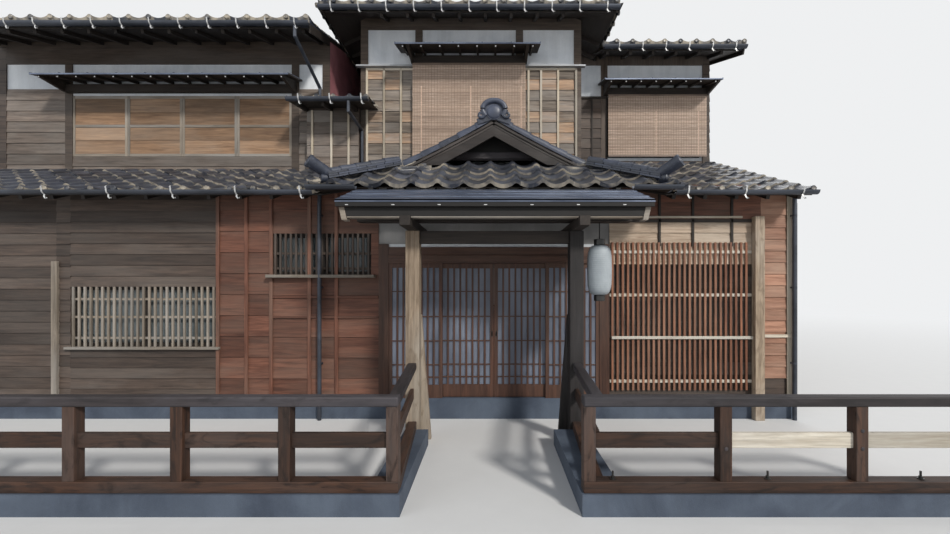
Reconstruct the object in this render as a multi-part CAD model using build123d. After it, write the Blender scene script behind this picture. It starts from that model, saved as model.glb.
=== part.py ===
"""Two-storey timber townhouse with a hip-and-gable entrance porch, latticed sliding doors and a low fence.

Millimetres. While it is drawn, X = 0 is the porch's centre line, Y = 0 the front face of the ground-floor
posts, Z = 0 the street, and +Y runs into the house. Each piece is moved once, when it is saved, so that
the middle of the whole house stands on the origin.
"""
from build123d import *
import os

# Street, floors and openings, as heights above the street
sill_level = 260
storey = 3150
floor_thickness = 100
ground_boards = 90

# Plan of the house
house_left = -8160
house_right = 4020
house_back = 7300
wall = 120
upper_front = 1365
wing_front = 2275
block_left = -2190
block_right = 1450
wing_gable = -2700
post_face = 20
plinth_width = 160

# Lower pent roof along the street
pent_overhang = 330
pent_eave = 2750
pent_slope = 0.42
pent_thickness = 90

# Porch roof
porch_half = 2200
porch_reach = 600
porch_eave = 2750
porch_ridge_height = 3830
porch_sag = 45
porch_slab = 70
skirt_slope = 0.55
verge_front = 130
gable_recess = 300
gable_board_depth = 200
gable_board_thickness = 36
gable_panel = 30
ridge_width = 200
ridge_base = 60
ridge_roll = 70
ridge_clear = 90
hip_width = 140
hip_base = 50
hip_roll = 50
hip_short = 330
end_tile_radius = 95
end_tile_thickness = 60
ornament_thickness = 65
ornament_disc = 105
ornament_hood = 150
ornament_scroll = 72
ornament_half = 235
gable_beam = 90

# Windows of the upper floor, and their small roofs
window_width = 1540
window_left = -1170
window_sill = 3560
window_head = 5000
wing_window_left = 2130
wing_window_right = 3860
wing_window_sill = 3900
wing_window_head = 5030
shutter_left = -6950
shutter_right = -3330
shutter_sill = 3650
shutter_head = 4650
blind_thickness = 12
blind_stand_off = 50
blind_side = 155
wing_blind_side = 85
window_pent_reach = 500
window_pent_slope = 0.25
window_pent_sheet = 24
window_pent_side = 180
block_pent_side = 355
block_pent_lift = 250
wing_pent_lift = 110
shutter_pent_lift = 130
pent_arm = 45
pent_header = 120
pent_header_depth = 80
pent_header_drop = 70
drip_ledge = 25
drip_ledge_reach = 70
drip_ledge_overhang = 60
drip_ledge_level = 5107
shutter_board = 24
sash_frame = 45
sash_depth = 40
glass = 5

# Upper roofs
block_window_to_eave = 790
block_eave = window_head + block_window_to_eave
block_slope = 0.45
block_side_reach = 460
eave_reach = 550
roof_thickness = 100
shutter_to_eave = 770
left_eave = shutter_head + shutter_to_eave
left_reach = 750
left_slope = 0.30
wing_window_to_eave = 670
right_eave = wing_window_head + wing_window_to_eave
right_slope = 0.35
right_verge = 340
block_plate = block_eave - 50
left_plate = left_eave - 250
right_plate = right_eave - 80
link_left = -3030
link_roof_left = -3150
link_roof_right = -1900
link_below_block = 1370
link_eave = block_eave - link_below_block
link_reach = 515
link_slope = 0.15
link_thickness = 80
link_wall = 100

# Entrance
opening_half = 1405
jamb = 135
door_height = 1815
lintel_height = 105
lintel_depth = 60
head_band = 110
light_strip = 40
panel_depth = 30
panel_gap = 10
panel_front = 8
leaf_width = 732
meeting_gap = 5
screen_inner = 690
stile = 45
meeting_stile = 50
top_rail = 62
kick_board = 175
lattice_bars = 7
lattice_bar = 24
lattice_rail = 14
lattice_depth = 16
lattice_rails = (286, 452, 770, 1095, 1430)
pane = 4
seat = 0.3
shoe_height = 8
sill_rail = 15
groove_depth = 20
groove_play = 6
tongue = 12
door_travel = 655

# Porch timber
post_centre = 920
post_size = 155
post_front = -930
arm_bottom = 2130
arm_height = 100
arm_width = 110
tie_bottom = 1990
tie_depth = 80
head_beam_half = 1540
purlin_half = 1580
purlin_front = -1290
purlin_depth = 100
purlin_height = 115
arm_reach = 60
metal_half = 1640
metal_front = -1340
metal_eave = 2400
metal_thickness = 30
metal_courses = 4
metal_step = 9
fascia_height = 45
fascia_depth = 20
rafter_width = 60
rafter_depth = 60
rafter_count = 9
brace_height = 1180
brace_foot = 110
brace_depth = 70

# Ground-floor front
side_window_left = -2950
side_window_right = -1640
side_window_sill = 1660
side_window_head = 2210
far_window_left = -5650
far_window_right = -3700
far_window_sill = 700
far_window_head = 1500
screen_left = 1560
screen_bottom = 123
screen_top = 2090
screen_bar = 30
screen_bars = 27
screen_pitch = 68.5
screen_rail = 40
screen_rails = (243, 1390, 1963)
screen_depth = 34
front_rail_level = 825
front_rail_depth = 20
screen_post = 125
screen_post_left = 3430
screen_post_depth = 90
screen_post_top = 2430

# Rear windows
rear_window_width = 1640
rear_window_centres = (-6400, -3400, -400, 2300)
rear_sill = 900
rear_head = 2100
rear_upper_sill = 4000
rear_upper_head = 5000

# Fence along the street and beside the path
fence_front = -2410
fence_post = 95
path_middle = -40
path_half = 764
left_bay = 835
left_bays = 6
right_bay = 1053
right_bays = 3
top_rail_level = 912
fence_cap = 77
fence_cap_depth = 110
mid_rail_level = 626
mid_rail_height = 120
mid_rail_depth = 35
sill_rail_level = 259
kerb_height = 170
kerb_width = 170
kerb_step = 30
kerb_path_edge = 700

# Gutters, pipes and the lantern
gutter_radius = 52
gutter_wall = 5
gutter_drop = 50
gutter_sides = 16
pipe_radius = 26
pipe_sides = 12
pipe_neck = 150
left_pipe = -2910
left_pipe_foot = -2840
left_pipe_bend = link_eave + 330
link_pipe = -2205
link_pipe_foot = -2150
link_pipe_bend = link_eave - 360
pipe_stand_off = 30
lantern_radius = 139
lantern_height = 560
lantern_bottom = 1410
lantern_centre = 1190
lantern_cap = 70
cap_radius = 62
hanger_strap = 12

rear_eave = house_back + eave_reach
front_reach = fence_front - kerb_step
rear_reach = rear_eave + 2 * gutter_radius
middle_x = (house_left + house_right + right_verge) / 2
middle_y = (front_reach + rear_reach) / 2

os.makedirs("parts", exist_ok=True)


def save(name, *pieces):
    """Move the pieces into the house's frame and write them as one node."""
    solids = [solid for piece in pieces for solid in piece.solids()]
    moved = Pos(-middle_x, -middle_y, 0) * Compound(children=solids)
    export_step(moved, f"parts/{name}.step")


def block(x_low, x_high, y_low, y_high, z_low, z_high):
    """A squared timber or slab between two corners."""
    size = (x_high - x_low, y_high - y_low, z_high - z_low)
    middle = ((x_low + x_high) / 2, (y_low + y_high) / 2, (z_low + z_high) / 2)
    return Pos(*middle) * Box(*size)


def along_x(outline, x_low, x_high):
    """A prism along X from an outline of (y, z) points."""
    face = make_face(Polyline(*[(x_low, y, z) for y, z in outline], close=True))
    return extrude(face, amount=x_high - x_low, dir=(1, 0, 0))


def along_y(outline, y_low, y_high):
    """A prism along Y from an outline of (x, z) points."""
    face = make_face(Polyline(*[(x, y_low, z) for x, z in outline], close=True))
    return extrude(face, amount=y_high - y_low, dir=(0, 1, 0))


def upright(outline, z_low, z_high):
    """A prism along Z from an outline of (x, y) points."""
    face = make_face(Polyline(*[(x, y, z_low) for x, y in outline], close=True))
    return extrude(face, amount=z_high - z_low, dir=(0, 0, 1))


def level(height):
    """Height above the street of a height above the door sill."""
    return sill_level + height


def pent_top(y):
    """Height of the pent roof's upper face at a depth."""
    return level(pent_eave) + pent_slope * (y + pent_overhang)


def under_pent(lowered=0):
    """Everything under the pent roof, or under its lower face."""
    front = []
    for right, back in ((block_right, upper_front), (house_right, wing_front)):
        left = house_left if back == upper_front else block_right
        outline = [(-pent_overhang, 0), (back, 0), (back, pent_top(back) - lowered)]
        outline.append((-pent_overhang, pent_top(-pent_overhang) - lowered))
        front.append(along_x(outline, left, right))
    return front[0] + front[1]


def porch_profile(lowered, y_low, y_high, half=porch_half):
    """Everything under the porch roof's two sagging side slopes, between two depths."""
    eave = level(porch_eave) - lowered
    top = level(porch_ridge_height) - lowered
    side = []
    for end in (-half, half):
        middle = (end / 2, y_low, (eave + top) / 2 - porch_sag)
        side.append(ThreePointArc((end, y_low, eave), middle, (0, y_low, top)))
    floor = Polyline((-half, y_low, eave), (-half, y_low, 0), (half, y_low, 0), (half, y_low, eave))
    face = make_face([side[0], side[1], floor])
    return extrude(face, amount=y_high - y_low, dir=(0, 1, 0))


def skirt_top(y):
    """Height of the porch's front skirt at a depth."""
    return level(porch_eave) + skirt_slope * (y + porch_reach)


def under_skirt(lowered, y_high):
    """Everything under the porch's front skirt, or under its lower face."""
    outline = [(-porch_reach, 0), (y_high, 0), (y_high, skirt_top(y_high) - lowered)]
    outline.append((-porch_reach, skirt_top(-porch_reach) - lowered))
    return along_x(outline, -porch_half, porch_half)


def hip_foot():
    """Distance from the centre line at which a side slope is as high as the skirt under the verge."""
    low, high = 0.0, float(porch_half)
    rise = skirt_top(verge_front) - level(porch_eave)
    total = porch_ridge_height - porch_eave
    for _ in range(40):
        middle = (low + high) / 2
        share = 1 - middle / porch_half
        height = total * share - 4 * porch_sag * share * (1 - share)
        low, high = (middle, high) if height > rise else (low, middle)
    return low


def between_hips(height):
    """Everything in front of the verge and between the porch roof's two hips."""
    foot = hip_foot()
    right = [(porch_half, -porch_reach), (foot, verge_front)]
    return upright(right + [(-x, y) for x, y in reversed(right)], 0, height)


def hipped(x_low, x_high, y_low, y_high, eave, slope, lowered=0):
    """Everything under a hipped roof with equal slopes."""
    half = (x_high - x_low) / 2
    depth = (y_high - y_low) / 2
    base = level(eave) - lowered
    across = [(x_low, 0), (x_high, 0), (x_high, base), (x_low + half, base + slope * half), (x_low, base)]
    along = [(y_low, 0), (y_high, 0), (y_high, base), (y_low + depth, base + slope * depth), (y_low, base)]
    return along_y(across, y_low, y_high) & along_x(along, x_low, x_high)


def gabled(x_low, x_high, y_low, y_high, eave, slope, lowered=0):
    """Everything under a gabled roof whose ridge runs along X."""
    depth = (y_high - y_low) / 2
    base = level(eave) - lowered
    outline = [(y_low, 0), (y_high, 0), (y_high, base), (y_low + depth, base + slope * depth), (y_low, base)]
    return along_x(outline, x_low, x_high)


block_roof_right = block_right + block_side_reach
block_plan = (block_left - block_side_reach, block_roof_right, upper_front - eave_reach, rear_eave)
left_plan = (house_left, wing_gable, upper_front - left_reach, rear_eave)
right_plan = ((block_left + block_right) / 2, house_right + right_verge, wing_front - eave_reach, rear_eave)


def under_block(lowered=0):
    return hipped(*block_plan, block_eave, block_slope, lowered)


def under_left(lowered=0):
    return gabled(*left_plan, left_eave, left_slope, lowered)


def under_right(lowered=0):
    return gabled(*right_plan, right_eave, right_slope, lowered)


def under_wing():
    """Everything under the right wing's roof and the part of the block's roof that covers the wing's wall."""
    roofed = block(block_roof_right, house_right, 0, house_back, 0, level(block_eave) + storey)
    return (under_right(roof_thickness) & roofed) + under_block(roof_thickness)


def link_top(y):
    """Height of the link's roof at a depth."""
    return level(link_eave) + link_slope * (y - upper_front + link_reach)


def rear_windows():
    """Edges of the rear windows of both storeys: left, right, sill and head."""
    holes = []
    for centre in rear_window_centres:
        low, high = centre - rear_window_width / 2, centre + rear_window_width / 2
        holes.append((low, high, level(rear_sill), level(rear_head)))
        holes.append((low, high, level(rear_upper_sill), level(rear_upper_head)))
    return holes


def ground_windows():
    """Edges of the windows in the left ground-floor wall."""
    return [(side_window_left, side_window_right, level(side_window_sill), level(side_window_head)),
            (far_window_left, far_window_right, level(far_window_sill), level(far_window_head))]


def under_porch(lowered=0):
    """Everything under the whole porch roof, or under its lower face."""
    hips = between_hips(level(porch_ridge_height))
    sides = porch_profile(lowered, -porch_reach, upper_front) - hips
    return (hips & under_skirt(lowered, verge_front)) + sides


def beam(start, end, width, height, lift=0):
    """A timber or ridge course of constant section between two points, its middle raised by the lift."""
    origin = Vector(*start)
    run = Vector(*end) - origin
    plane = Plane(origin=origin, x_dir=Vector(0, 0, 1).cross(run), z_dir=run)
    return extrude(plane * Pos(0, lift, 0) * Rectangle(width, height), amount=run.length)


def round_bar(start, end, radius, lift=0):
    """A round bar or ridge roll between two points, its middle raised by the lift."""
    origin = Vector(*start)
    run = Vector(*end) - origin
    plane = Plane(origin=origin, x_dir=Vector(0, 0, 1).cross(run), z_dir=run)
    return extrude(plane * Pos(0, lift, 0) * Circle(radius), amount=run.length)


def ridge(start, end, width, base, roll):
    """A ridge of flat courses with a round cap, on the line where two slopes meet."""
    return beam(start, end, width, 2 * base) + round_bar(start, end, roll, base)


def make_foundation():
    """Concrete plinth under the walls, with the door step between its front lengths."""
    lengths = []
    for low in (0, house_back - plinth_width):
        lengths.append(block(house_left, house_right, low, low + plinth_width, 0, sill_level))
    for low in (house_left, house_right - plinth_width):
        lengths.append(block(low, low + plinth_width, plinth_width + seat, house_back - plinth_width - seat,
                             0, sill_level))
    save("foundation", *lengths)


def make_floors():
    """Boarded ground floor inside the plinth, and the upper floor from the upper front wall back."""
    ground = block(house_left + plinth_width, house_right - plinth_width, plinth_width,
                   house_back - plinth_width, sill_level - ground_boards, sill_level)
    upper = block(house_left + wall, house_right - wall, upper_front, house_back - wall,
                  level(storey) - floor_thickness, level(storey))
    save("floors", ground, upper)


def make_inner_posts():
    """Posts inside the house that carry the upper front wall."""
    columns = []
    for centre in ((house_left + wing_gable) / 2, block_left + wall / 2, block_right - wall / 2):
        columns.append(block(centre - wall / 2, centre + wall / 2, upper_front, upper_front + wall,
                             sill_level, level(storey) - floor_thickness))
    save("inner_posts", *columns)


def make_ground_front():
    """Ground-floor front walls on both sides of the doorway, under the pent and porch roofs."""
    covered = under_pent(pent_thickness) + under_porch(porch_slab)
    top = level(porch_ridge_height)
    left = block(house_left + wall, -opening_half - jamb, post_face, wall, sill_level, top)
    for low, high, sill, head in ground_windows():
        left -= block(low, high, 0, wall, sill, head)
    right = block(opening_half + jamb, house_right - wall, post_face, wall, sill_level, top)
    over = block(-opening_half - jamb, opening_half + jamb, post_face, wall,
                 level(door_height + lintel_height + head_band + light_strip), top)
    save("left_ground_wall", left & covered)
    save("right_ground_wall", right & covered)
    save("wall_over_door", over & covered)


def make_upper_front():
    """Upper front walls of the left wing, the middle block and the right wing, with their windows cut."""
    floor = level(storey)
    top = level(block_eave) + storey
    front, back = upper_front + post_face, upper_front + wall
    left = block(house_left + wall, wing_gable - wall, front, back, floor, top)
    left -= block(shutter_left, shutter_right, 0, wing_front, level(shutter_sill), level(shutter_head))
    save("left_wing_wall", left & under_left(roof_thickness))
    middle = block(block_left, block_right, front, back, floor, top)
    middle -= block(window_left, window_left + window_width, 0, wing_front,
                    level(window_sill), level(window_head))
    save("block_front_wall", middle & under_block(roof_thickness))
    right = block(block_right, house_right - wall, wing_front + post_face, wing_front + wall, floor, top)
    right -= block(wing_window_left, wing_window_right, 0, house_back,
                   level(wing_window_sill), level(wing_window_head))
    save("right_wing_wall", right & under_wing())


def end_wall(x_low, x_high, front, under_roof):
    """A plain end wall: as high as the pent roof up to the upper front wall, and the upper roof behind it."""
    low = under_pent(pent_thickness) & block(x_low, x_high, 0, front, sill_level, level(block_eave))
    high = under_roof & block(x_low, x_high, front, house_back, sill_level, level(block_eave) + storey)
    return low + high


def make_side_walls():
    """Plain end walls, the maroon gable wall beside the link, and the block's own side walls."""
    top = level(block_eave) + storey
    floor = level(storey)
    save("left_party_wall", end_wall(house_left, house_left + wall, upper_front, under_left(roof_thickness)))
    save("right_end_wall", end_wall(house_right - wall, house_right, wing_front, under_right(roof_thickness)))
    gable = block(wing_gable - wall, wing_gable, upper_front + post_face, house_back - wall, floor, top)
    save("maroon_gable_wall", gable & under_left(roof_thickness))
    sides = block(block_left, block_left + wall, upper_front + wall, house_back - wall, floor, top)
    sides += block(block_right - wall, block_right, upper_front + wall, wing_front + wall, floor, top)
    save("block_side_walls", sides & under_block(roof_thickness))


def make_rear_wall():
    """Rear wall of both storeys with its windows cut."""
    top = level(block_eave) + storey
    back = house_back - wall
    whole = block(house_left + wall, house_right - wall, back, house_back, sill_level, top)
    for low, high, sill, head in rear_windows():
        whole -= block(low, high, 0, rear_eave, sill, head)
    slot = block(wing_gable, block_left, 0, rear_eave, 0, link_top(house_back))
    wing = under_right(roof_thickness) & block(block_roof_right, house_right, 0, rear_eave, 0, top)
    roofed = under_left(roof_thickness) + under_block(roof_thickness) + wing + slot
    save("rear_wall", whole & roofed)


def make_link():
    """Narrow link between the left wing and the block, with its own low roof."""
    outline = [(upper_front - link_reach, link_top(upper_front - link_reach) - link_thickness),
               (house_back - wall, link_top(house_back - wall) - link_thickness),
               (house_back - wall, link_top(house_back - wall)),
               (upper_front - link_reach, link_top(upper_front - link_reach))]
    whole = along_x(outline, link_roof_left, link_roof_right)
    front = whole & block(link_roof_left, link_roof_right, -house_back, upper_front, 0, level(block_eave))
    back = whole & block(wing_gable, block_left, upper_front + seat, house_back, 0, level(block_eave))
    save("link_roof", front, back)
    facing = block(link_left, block_left, upper_front - link_wall, upper_front,
                   level(storey), level(block_eave))
    facing -= under_pent()
    below = [(-house_back, 0), (house_back, 0), (house_back, link_top(house_back) - link_thickness),
             (-house_back, link_top(-house_back) - link_thickness)]
    save("link_wall", facing & along_x(below, link_roof_left, link_roof_right))


def make_lower_roofs():
    """Pent roofs left and right of the porch, cut to the valleys of the porch roof."""
    slab = under_pent() - under_pent(pent_thickness)
    slab -= porch_profile(0, -porch_reach, wing_front)
    slab -= block(block_right - seat, block_right, -pent_overhang, wing_front, 0, level(block_eave))
    save("pent_roofs", slab)


def make_porch_roof():
    """Hip-and-gable roof: tiled front skirt, two sagging side slopes, gable boards and panel."""
    back = verge_front + gable_recess
    height = level(porch_ridge_height) + storey
    skirt = under_skirt(0, back) - under_skirt(porch_slab, back)
    recess = block(-hip_foot(), hip_foot(), verge_front, back, 0, height)
    skirt &= between_hips(height) + (recess & porch_profile(porch_slab, verge_front, back))
    shell = porch_profile(0, -porch_reach, upper_front) - porch_profile(porch_slab, -porch_reach, upper_front)
    slopes = shell - between_hips(height) - under_pent()
    room = blind_side + ridge_clear
    blind_room = block(window_left - room, window_left + window_width + room,
                       upper_front - ridge_clear, upper_front, level(window_sill) - ridge_clear, height)
    slopes -= blind_room
    slopes -= block(-seat / 2, seat / 2, -porch_reach, upper_front, 0, height)
    save("porch_skirt", skirt)
    save("porch_side_slopes", slopes)
    board_low = verge_front + gable_board_thickness / 2
    board_high = board_low + gable_board_thickness
    band = porch_profile(porch_slab, board_low, board_high)
    band -= porch_profile(porch_slab + gable_board_depth, board_low, board_high)
    save("gable_boards", band - under_skirt(0, back))
    panel = porch_profile(porch_slab, back - gable_panel, back)
    foot = skirt_top(back)
    rail = block(-hip_foot(), hip_foot(), back - gable_panel - gable_board_thickness, back,
                 foot, foot + gable_beam)
    panel += rail & porch_profile(porch_slab, verge_front, back)
    save("gable_panel", panel - under_skirt(0, back))


def make_porch_ridges():
    """Ridge of the porch with its scrolled ornament, and its two hips, each with a round end tile."""
    top = level(porch_ridge_height)
    roof = under_porch()
    pieces = [ridge((0, verge_front, top), (0, upper_front - ridge_clear, top),
                    ridge_width, ridge_base, ridge_roll) - roof]
    foot = hip_foot()
    for side in (-1, 1):
        upper = Vector(side * foot, verge_front, skirt_top(verge_front))
        corner = Vector(side * porch_half, -porch_reach, level(porch_eave))
        run = (corner - upper).normalized()
        lower = corner - run * hip_short
        hip = ridge(tuple(upper), tuple(lower), hip_width, hip_base, hip_roll)
        hip += round_bar(tuple(lower), tuple(lower + run * end_tile_thickness), end_tile_radius, hip_base)
        pieces.append(hip - roof - block(-foot, foot, verge_front - ridge_width, upper_front, 0, top))
    middle = top + ridge_base
    outline = Circle(ornament_hood)
    outline += Rectangle(2 * ornament_half, 2 * ridge_base).moved(Pos(0, -ornament_disc))
    for side in (-1, 1):
        outline += Circle(ornament_scroll).moved(Pos(side * (ornament_half - ornament_scroll), -ridge_base))
    plane = Plane(origin=(0, verge_front - seat, middle), x_dir=(1, 0, 0), z_dir=(0, -1, 0))
    ornament = extrude(plane * outline, amount=ornament_thickness - ornament_thickness / 3)
    ornament += extrude(plane * Circle(ornament_disc), amount=ornament_thickness)
    save("porch_ridges", *pieces, ornament)


def seam(start, end):
    """A thin upright cut between two plan points, which parts a roof into its slopes."""
    height = level(block_eave)
    return beam((*start, height), (*end, height), seat, 2 * storey)


def block_crown():
    """Plan points of the middle block's ridge ends, and the height of its ridge."""
    x_low, x_high, y_low, y_high = block_plan
    half = (x_high - x_low) / 2
    return (x_low + half, y_low + half), (x_low + half, y_high - half), level(block_eave) + block_slope * half


def make_upper_roofs():
    """Hipped roof of the middle block, and the gabled roofs of the two wings, each in its slopes."""
    x_low, x_high, y_low, y_high = block_plan
    front, back, _ = block_crown()
    block_roof = under_block() - under_block(roof_thickness) - seam(front, back)
    for end, y_corner in ((front, y_low), (back, y_high)):
        for x_corner in (x_low, x_high):
            block_roof -= seam((x_corner, y_corner), end)
    save("block_roof", block_roof)
    middle = (left_plan[2] + left_plan[3]) / 2
    left_roof = under_left() - under_left(roof_thickness)
    save("left_wing_roof", left_roof - seam((left_plan[0], middle), (left_plan[1], middle)))
    middle = (right_plan[2] + right_plan[3]) / 2
    right_roof = under_right() - under_right(roof_thickness) - under_block()
    right_roof -= block(block_left, block_roof_right, 0, rear_eave, 0, level(block_eave))
    save("right_wing_roof", right_roof - seam((right_plan[0], middle), (right_plan[1], middle)))
    make_upper_ridges()


def make_upper_ridges():
    """Ridge and hips of the middle block, and the straight ridges of the wings."""
    x_low, x_high, y_low, y_high = block_plan
    front, back, crown = block_crown()
    wings = []
    for plan, eave, slope in ((left_plan, left_eave, left_slope), (right_plan, right_eave, right_slope)):
        middle = (plan[2] + plan[3]) / 2
        height = level(eave) + slope * (plan[3] - plan[2]) / 2
        wings.append(ridge((plan[0], middle, height), (plan[1], middle, height),
                           ridge_width, ridge_base, ridge_roll))
    half = ridge_width / 2
    parts = [ridge((front[0], front[1] - half, crown), (back[0], back[1] + half, crown),
                   ridge_width, ridge_base, ridge_roll)]
    strip = block(front[0] - half - seat, front[0] + half + seat, y_low, y_high, 0, 2 * crown)
    for end, y_corner in ((front, y_low), (back, y_high)):
        for x_corner in (x_low, x_high):
            hip = ridge((*end, crown), (x_corner, y_corner, level(block_eave)), hip_width, hip_base, hip_roll)
            parts.append(hip - strip)
    parts = [part - under_block() - under_right() - wings[1] for part in parts]
    save("upper_ridges", *parts, wings[0] - under_left(), wings[1] - under_right() - under_block())


def lattice_panel(x_low, x_high, y_front, z_low, z_high, left_stile, right_stile):
    """One door panel: stiles, rails and kick board with the bars fused in, and the pane behind them."""
    y_back = y_front + panel_depth
    bottom = level(0) + kick_board + sill_rail
    wood = block(x_low, x_low + left_stile, y_front, y_back, z_low, z_high)
    wood += block(x_high - right_stile, x_high, y_front, y_back, z_low, z_high)
    wood += block(x_low, x_high, y_front, y_back, z_high - top_rail, z_high)
    wood += block(x_low, x_high, y_front, y_back, z_low, bottom)
    inside_low, inside_high = x_low + left_stile, x_high - right_stile
    pitch = (inside_high - inside_low - lattice_bars * lattice_bar) / (lattice_bars + 1) + lattice_bar
    for number in range(1, lattice_bars + 1):
        start = inside_low + number * pitch - lattice_bar
        wood += block(start, start + lattice_bar, y_front, y_front + lattice_depth, bottom, z_high - top_rail)
    for height in lattice_rails:
        wood += block(inside_low, inside_high, y_front, y_front + lattice_depth,
                      level(height), level(height) + lattice_rail)
    glazing = block(inside_low + seat, inside_high - seat,
                    y_front + lattice_depth + seat, y_front + lattice_depth + seat + pane,
                    bottom + seat, z_high - top_rail - seat)
    return wood, glazing


def make_doors():
    """Two fixed outer screens and the two leaves that slide out behind them."""
    low = sill_level + sill_rail
    high = level(door_height)
    leaf_front = panel_front + panel_depth + panel_gap
    third = panel_depth / 3
    screens = []
    panes = []
    for side, name in ((-1, "left"), (1, "right")):
        outer = sorted((side * screen_inner, side * opening_half))
        wood, glazing = lattice_panel(*outer, panel_front, low, high, stile, stile)
        screens.append(wood)
        panes.append(glazing)
        inner = sorted((side * meeting_gap / 2, side * (meeting_gap / 2 + leaf_width)))
        stiles = (stile, meeting_stile) if side < 0 else (meeting_stile, stile)
        lift = low + shoe_height
        drop = high - groove_play
        wood, glazing = lattice_panel(*inner, leaf_front, lift, drop, *stiles)
        wood += block(*inner, leaf_front + third, leaf_front + 2 * third, drop, high + tongue)
        for end in (inner[0] + stile, inner[1] - stile):
            wood += block(end - stile / 2, end + stile / 2, leaf_front + third, leaf_front + 2 * third,
                          low + seat, lift)
        save(f"{name}_door", wood)
        save(f"{name}_door_glass", glazing)
    save("fixed_screens", *screens)
    save("screen_glass", *panes)


def make_door_frame():
    """Jamb posts, grooved lintel, sill rail and the bands over the door."""
    third = panel_depth / 3
    groove_low = panel_front + panel_depth + panel_gap + third - groove_play
    groove_high = groove_low + third + 2 * groove_play
    front = -lintel_depth / 3
    groove_top = level(door_height) + groove_depth
    save("door_lintel", block(-opening_half, opening_half, front, wall,
                              groove_top, level(door_height + lintel_height)))
    save("lintel_track",
         block(-opening_half, opening_half, front, groove_low, level(door_height), groove_top),
         block(-opening_half, opening_half, groove_high, wall, level(door_height), groove_top))
    band = level(door_height + lintel_height)
    strip = band + head_band
    save("head_band", block(-opening_half, opening_half, 0, wall, band, strip))
    save("light_strip", block(-opening_half, opening_half, post_face, wall, strip, strip + light_strip))
    save("door_sill", block(-opening_half, opening_half, 0, wall, sill_level, sill_level + sill_rail))
    jambs = []
    for side in (-1, 1):
        ends = sorted((side * opening_half, side * (opening_half + jamb)))
        jambs.append(block(*ends, 0, wall, sill_level, strip + light_strip))
    save("door_posts", *jambs)


def metal_under(y):
    """Height of the metal eave's lower face at a depth."""
    back = level(porch_eave - porch_slab)
    slope = (back - level(metal_eave)) / (-porch_reach - metal_front)
    return level(metal_eave) - metal_thickness + slope * (y - metal_front)


def make_porch_frame():
    """Porch posts with raking braces, tie, arms, head beam, front purlin and the stepped metal eave."""
    post_back = post_front + post_size
    inside = post_centre - post_size / 2
    posts = []
    arms = []
    for side in (-1, 1):
        ends = sorted((side * (post_centre - post_size / 2), side * (post_centre + post_size / 2)))
        outline = [(side * post_centre, 0), (side * (inside - brace_foot), 0),
                   (side * inside, level(brace_height)), (side * post_centre, level(brace_height))]
        posts.append(block(*ends, post_front, post_back, 0, level(arm_bottom))
                     + along_y(outline, post_back, post_back + brace_depth))
        middle = side * post_centre
        arms.append(block(middle - arm_width / 2, middle + arm_width / 2, purlin_front - arm_reach, 0,
                          level(arm_bottom), level(arm_bottom + arm_height)))
    save("porch_posts", *posts)
    save("porch_arms", *arms)
    middle = (post_front + post_back) / 2
    beam_bottom = level(arm_bottom + arm_height)
    tie = block(-inside, inside, middle - tie_depth / 2, middle + tie_depth / 2,
                level(tie_bottom), level(arm_bottom))
    head = block(-head_beam_half, head_beam_half, post_front, post_back,
                 beam_bottom, metal_under(post_front) - rafter_depth)
    purlin = block(-purlin_half, purlin_half, purlin_front, purlin_front + purlin_depth,
                   beam_bottom, metal_under(purlin_front) - rafter_depth)
    save("porch_beams", tie, head, purlin)
    make_porch_rafters()
    front, back = metal_front, -porch_reach
    course = (back - front) / metal_courses
    sheet = [(front, metal_under(front)), (back, metal_under(back))]
    for number in range(metal_courses, 0, -1):
        near, far = front + (number - 1) * course, front + number * course
        sheet.append((far, metal_under(far) + metal_thickness - metal_step))
        sheet.append((near, metal_under(near) + metal_thickness))
    fascia = block(-metal_half, metal_half, front, front + fascia_depth,
                   metal_under(front) - fascia_height, metal_under(front) + metal_thickness / 2)
    save("metal_eave", along_x(sheet, -metal_half, metal_half) + fascia)


def make_porch_rafters():
    """Rafters under the metal eave and on under the skirt to the wall over the door."""
    front = metal_front + 2 * fascia_depth
    turn = -porch_reach
    covered = under_porch(porch_slab)
    pieces = []
    for number in range(rafter_count):
        centre = (2 * number / (rafter_count - 1) - 1) * (head_beam_half - rafter_width)
        outline = [(front, metal_under(front)), (turn, metal_under(turn)),
                   (turn, metal_under(turn) - rafter_depth), (front, metal_under(front) - rafter_depth)]
        low = along_x(outline, centre - rafter_width / 2, centre + rafter_width / 2)
        upper = [(turn, skirt_top(turn) - porch_slab), (post_face, skirt_top(post_face) - porch_slab),
                 (post_face, skirt_top(post_face) - porch_slab - rafter_depth),
                 (turn, skirt_top(turn) - porch_slab - rafter_depth)]
        high = along_x(upper, centre - rafter_width / 2, centre + rafter_width / 2)
        pieces.append(low + (high & covered))
    save("porch_rafters", *pieces)


def make_screen():
    """Upright-bar screen in front of the right ground wall, its front rail and the post at its far end."""
    low, high = level(screen_bottom), level(screen_top)
    half = screen_depth / 2
    start = opening_half + jamb
    frame = block(screen_left, screen_left + screen_bar, -half, 0, low, high)
    for number in range(1, screen_bars):
        edge = screen_left + number * screen_pitch
        frame += block(edge, edge + screen_bar, -half, 0, low, high)
    for height in screen_rails:
        frame += block(start, screen_post_left, -half / 2, post_face,
                       level(height) - screen_rail / 2, level(height) + screen_rail / 2)
    save("street_screen", frame)
    post = block(screen_post_left, screen_post_left + screen_post, -screen_post_depth, 0,
                 0, level(screen_post_top))
    middle = level(front_rail_level)
    rail = block(screen_left, screen_post_left, -half - front_rail_depth, -half,
                 middle - screen_rail / 2, middle + screen_rail / 2)
    save("screen_post", post + rail)


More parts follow.
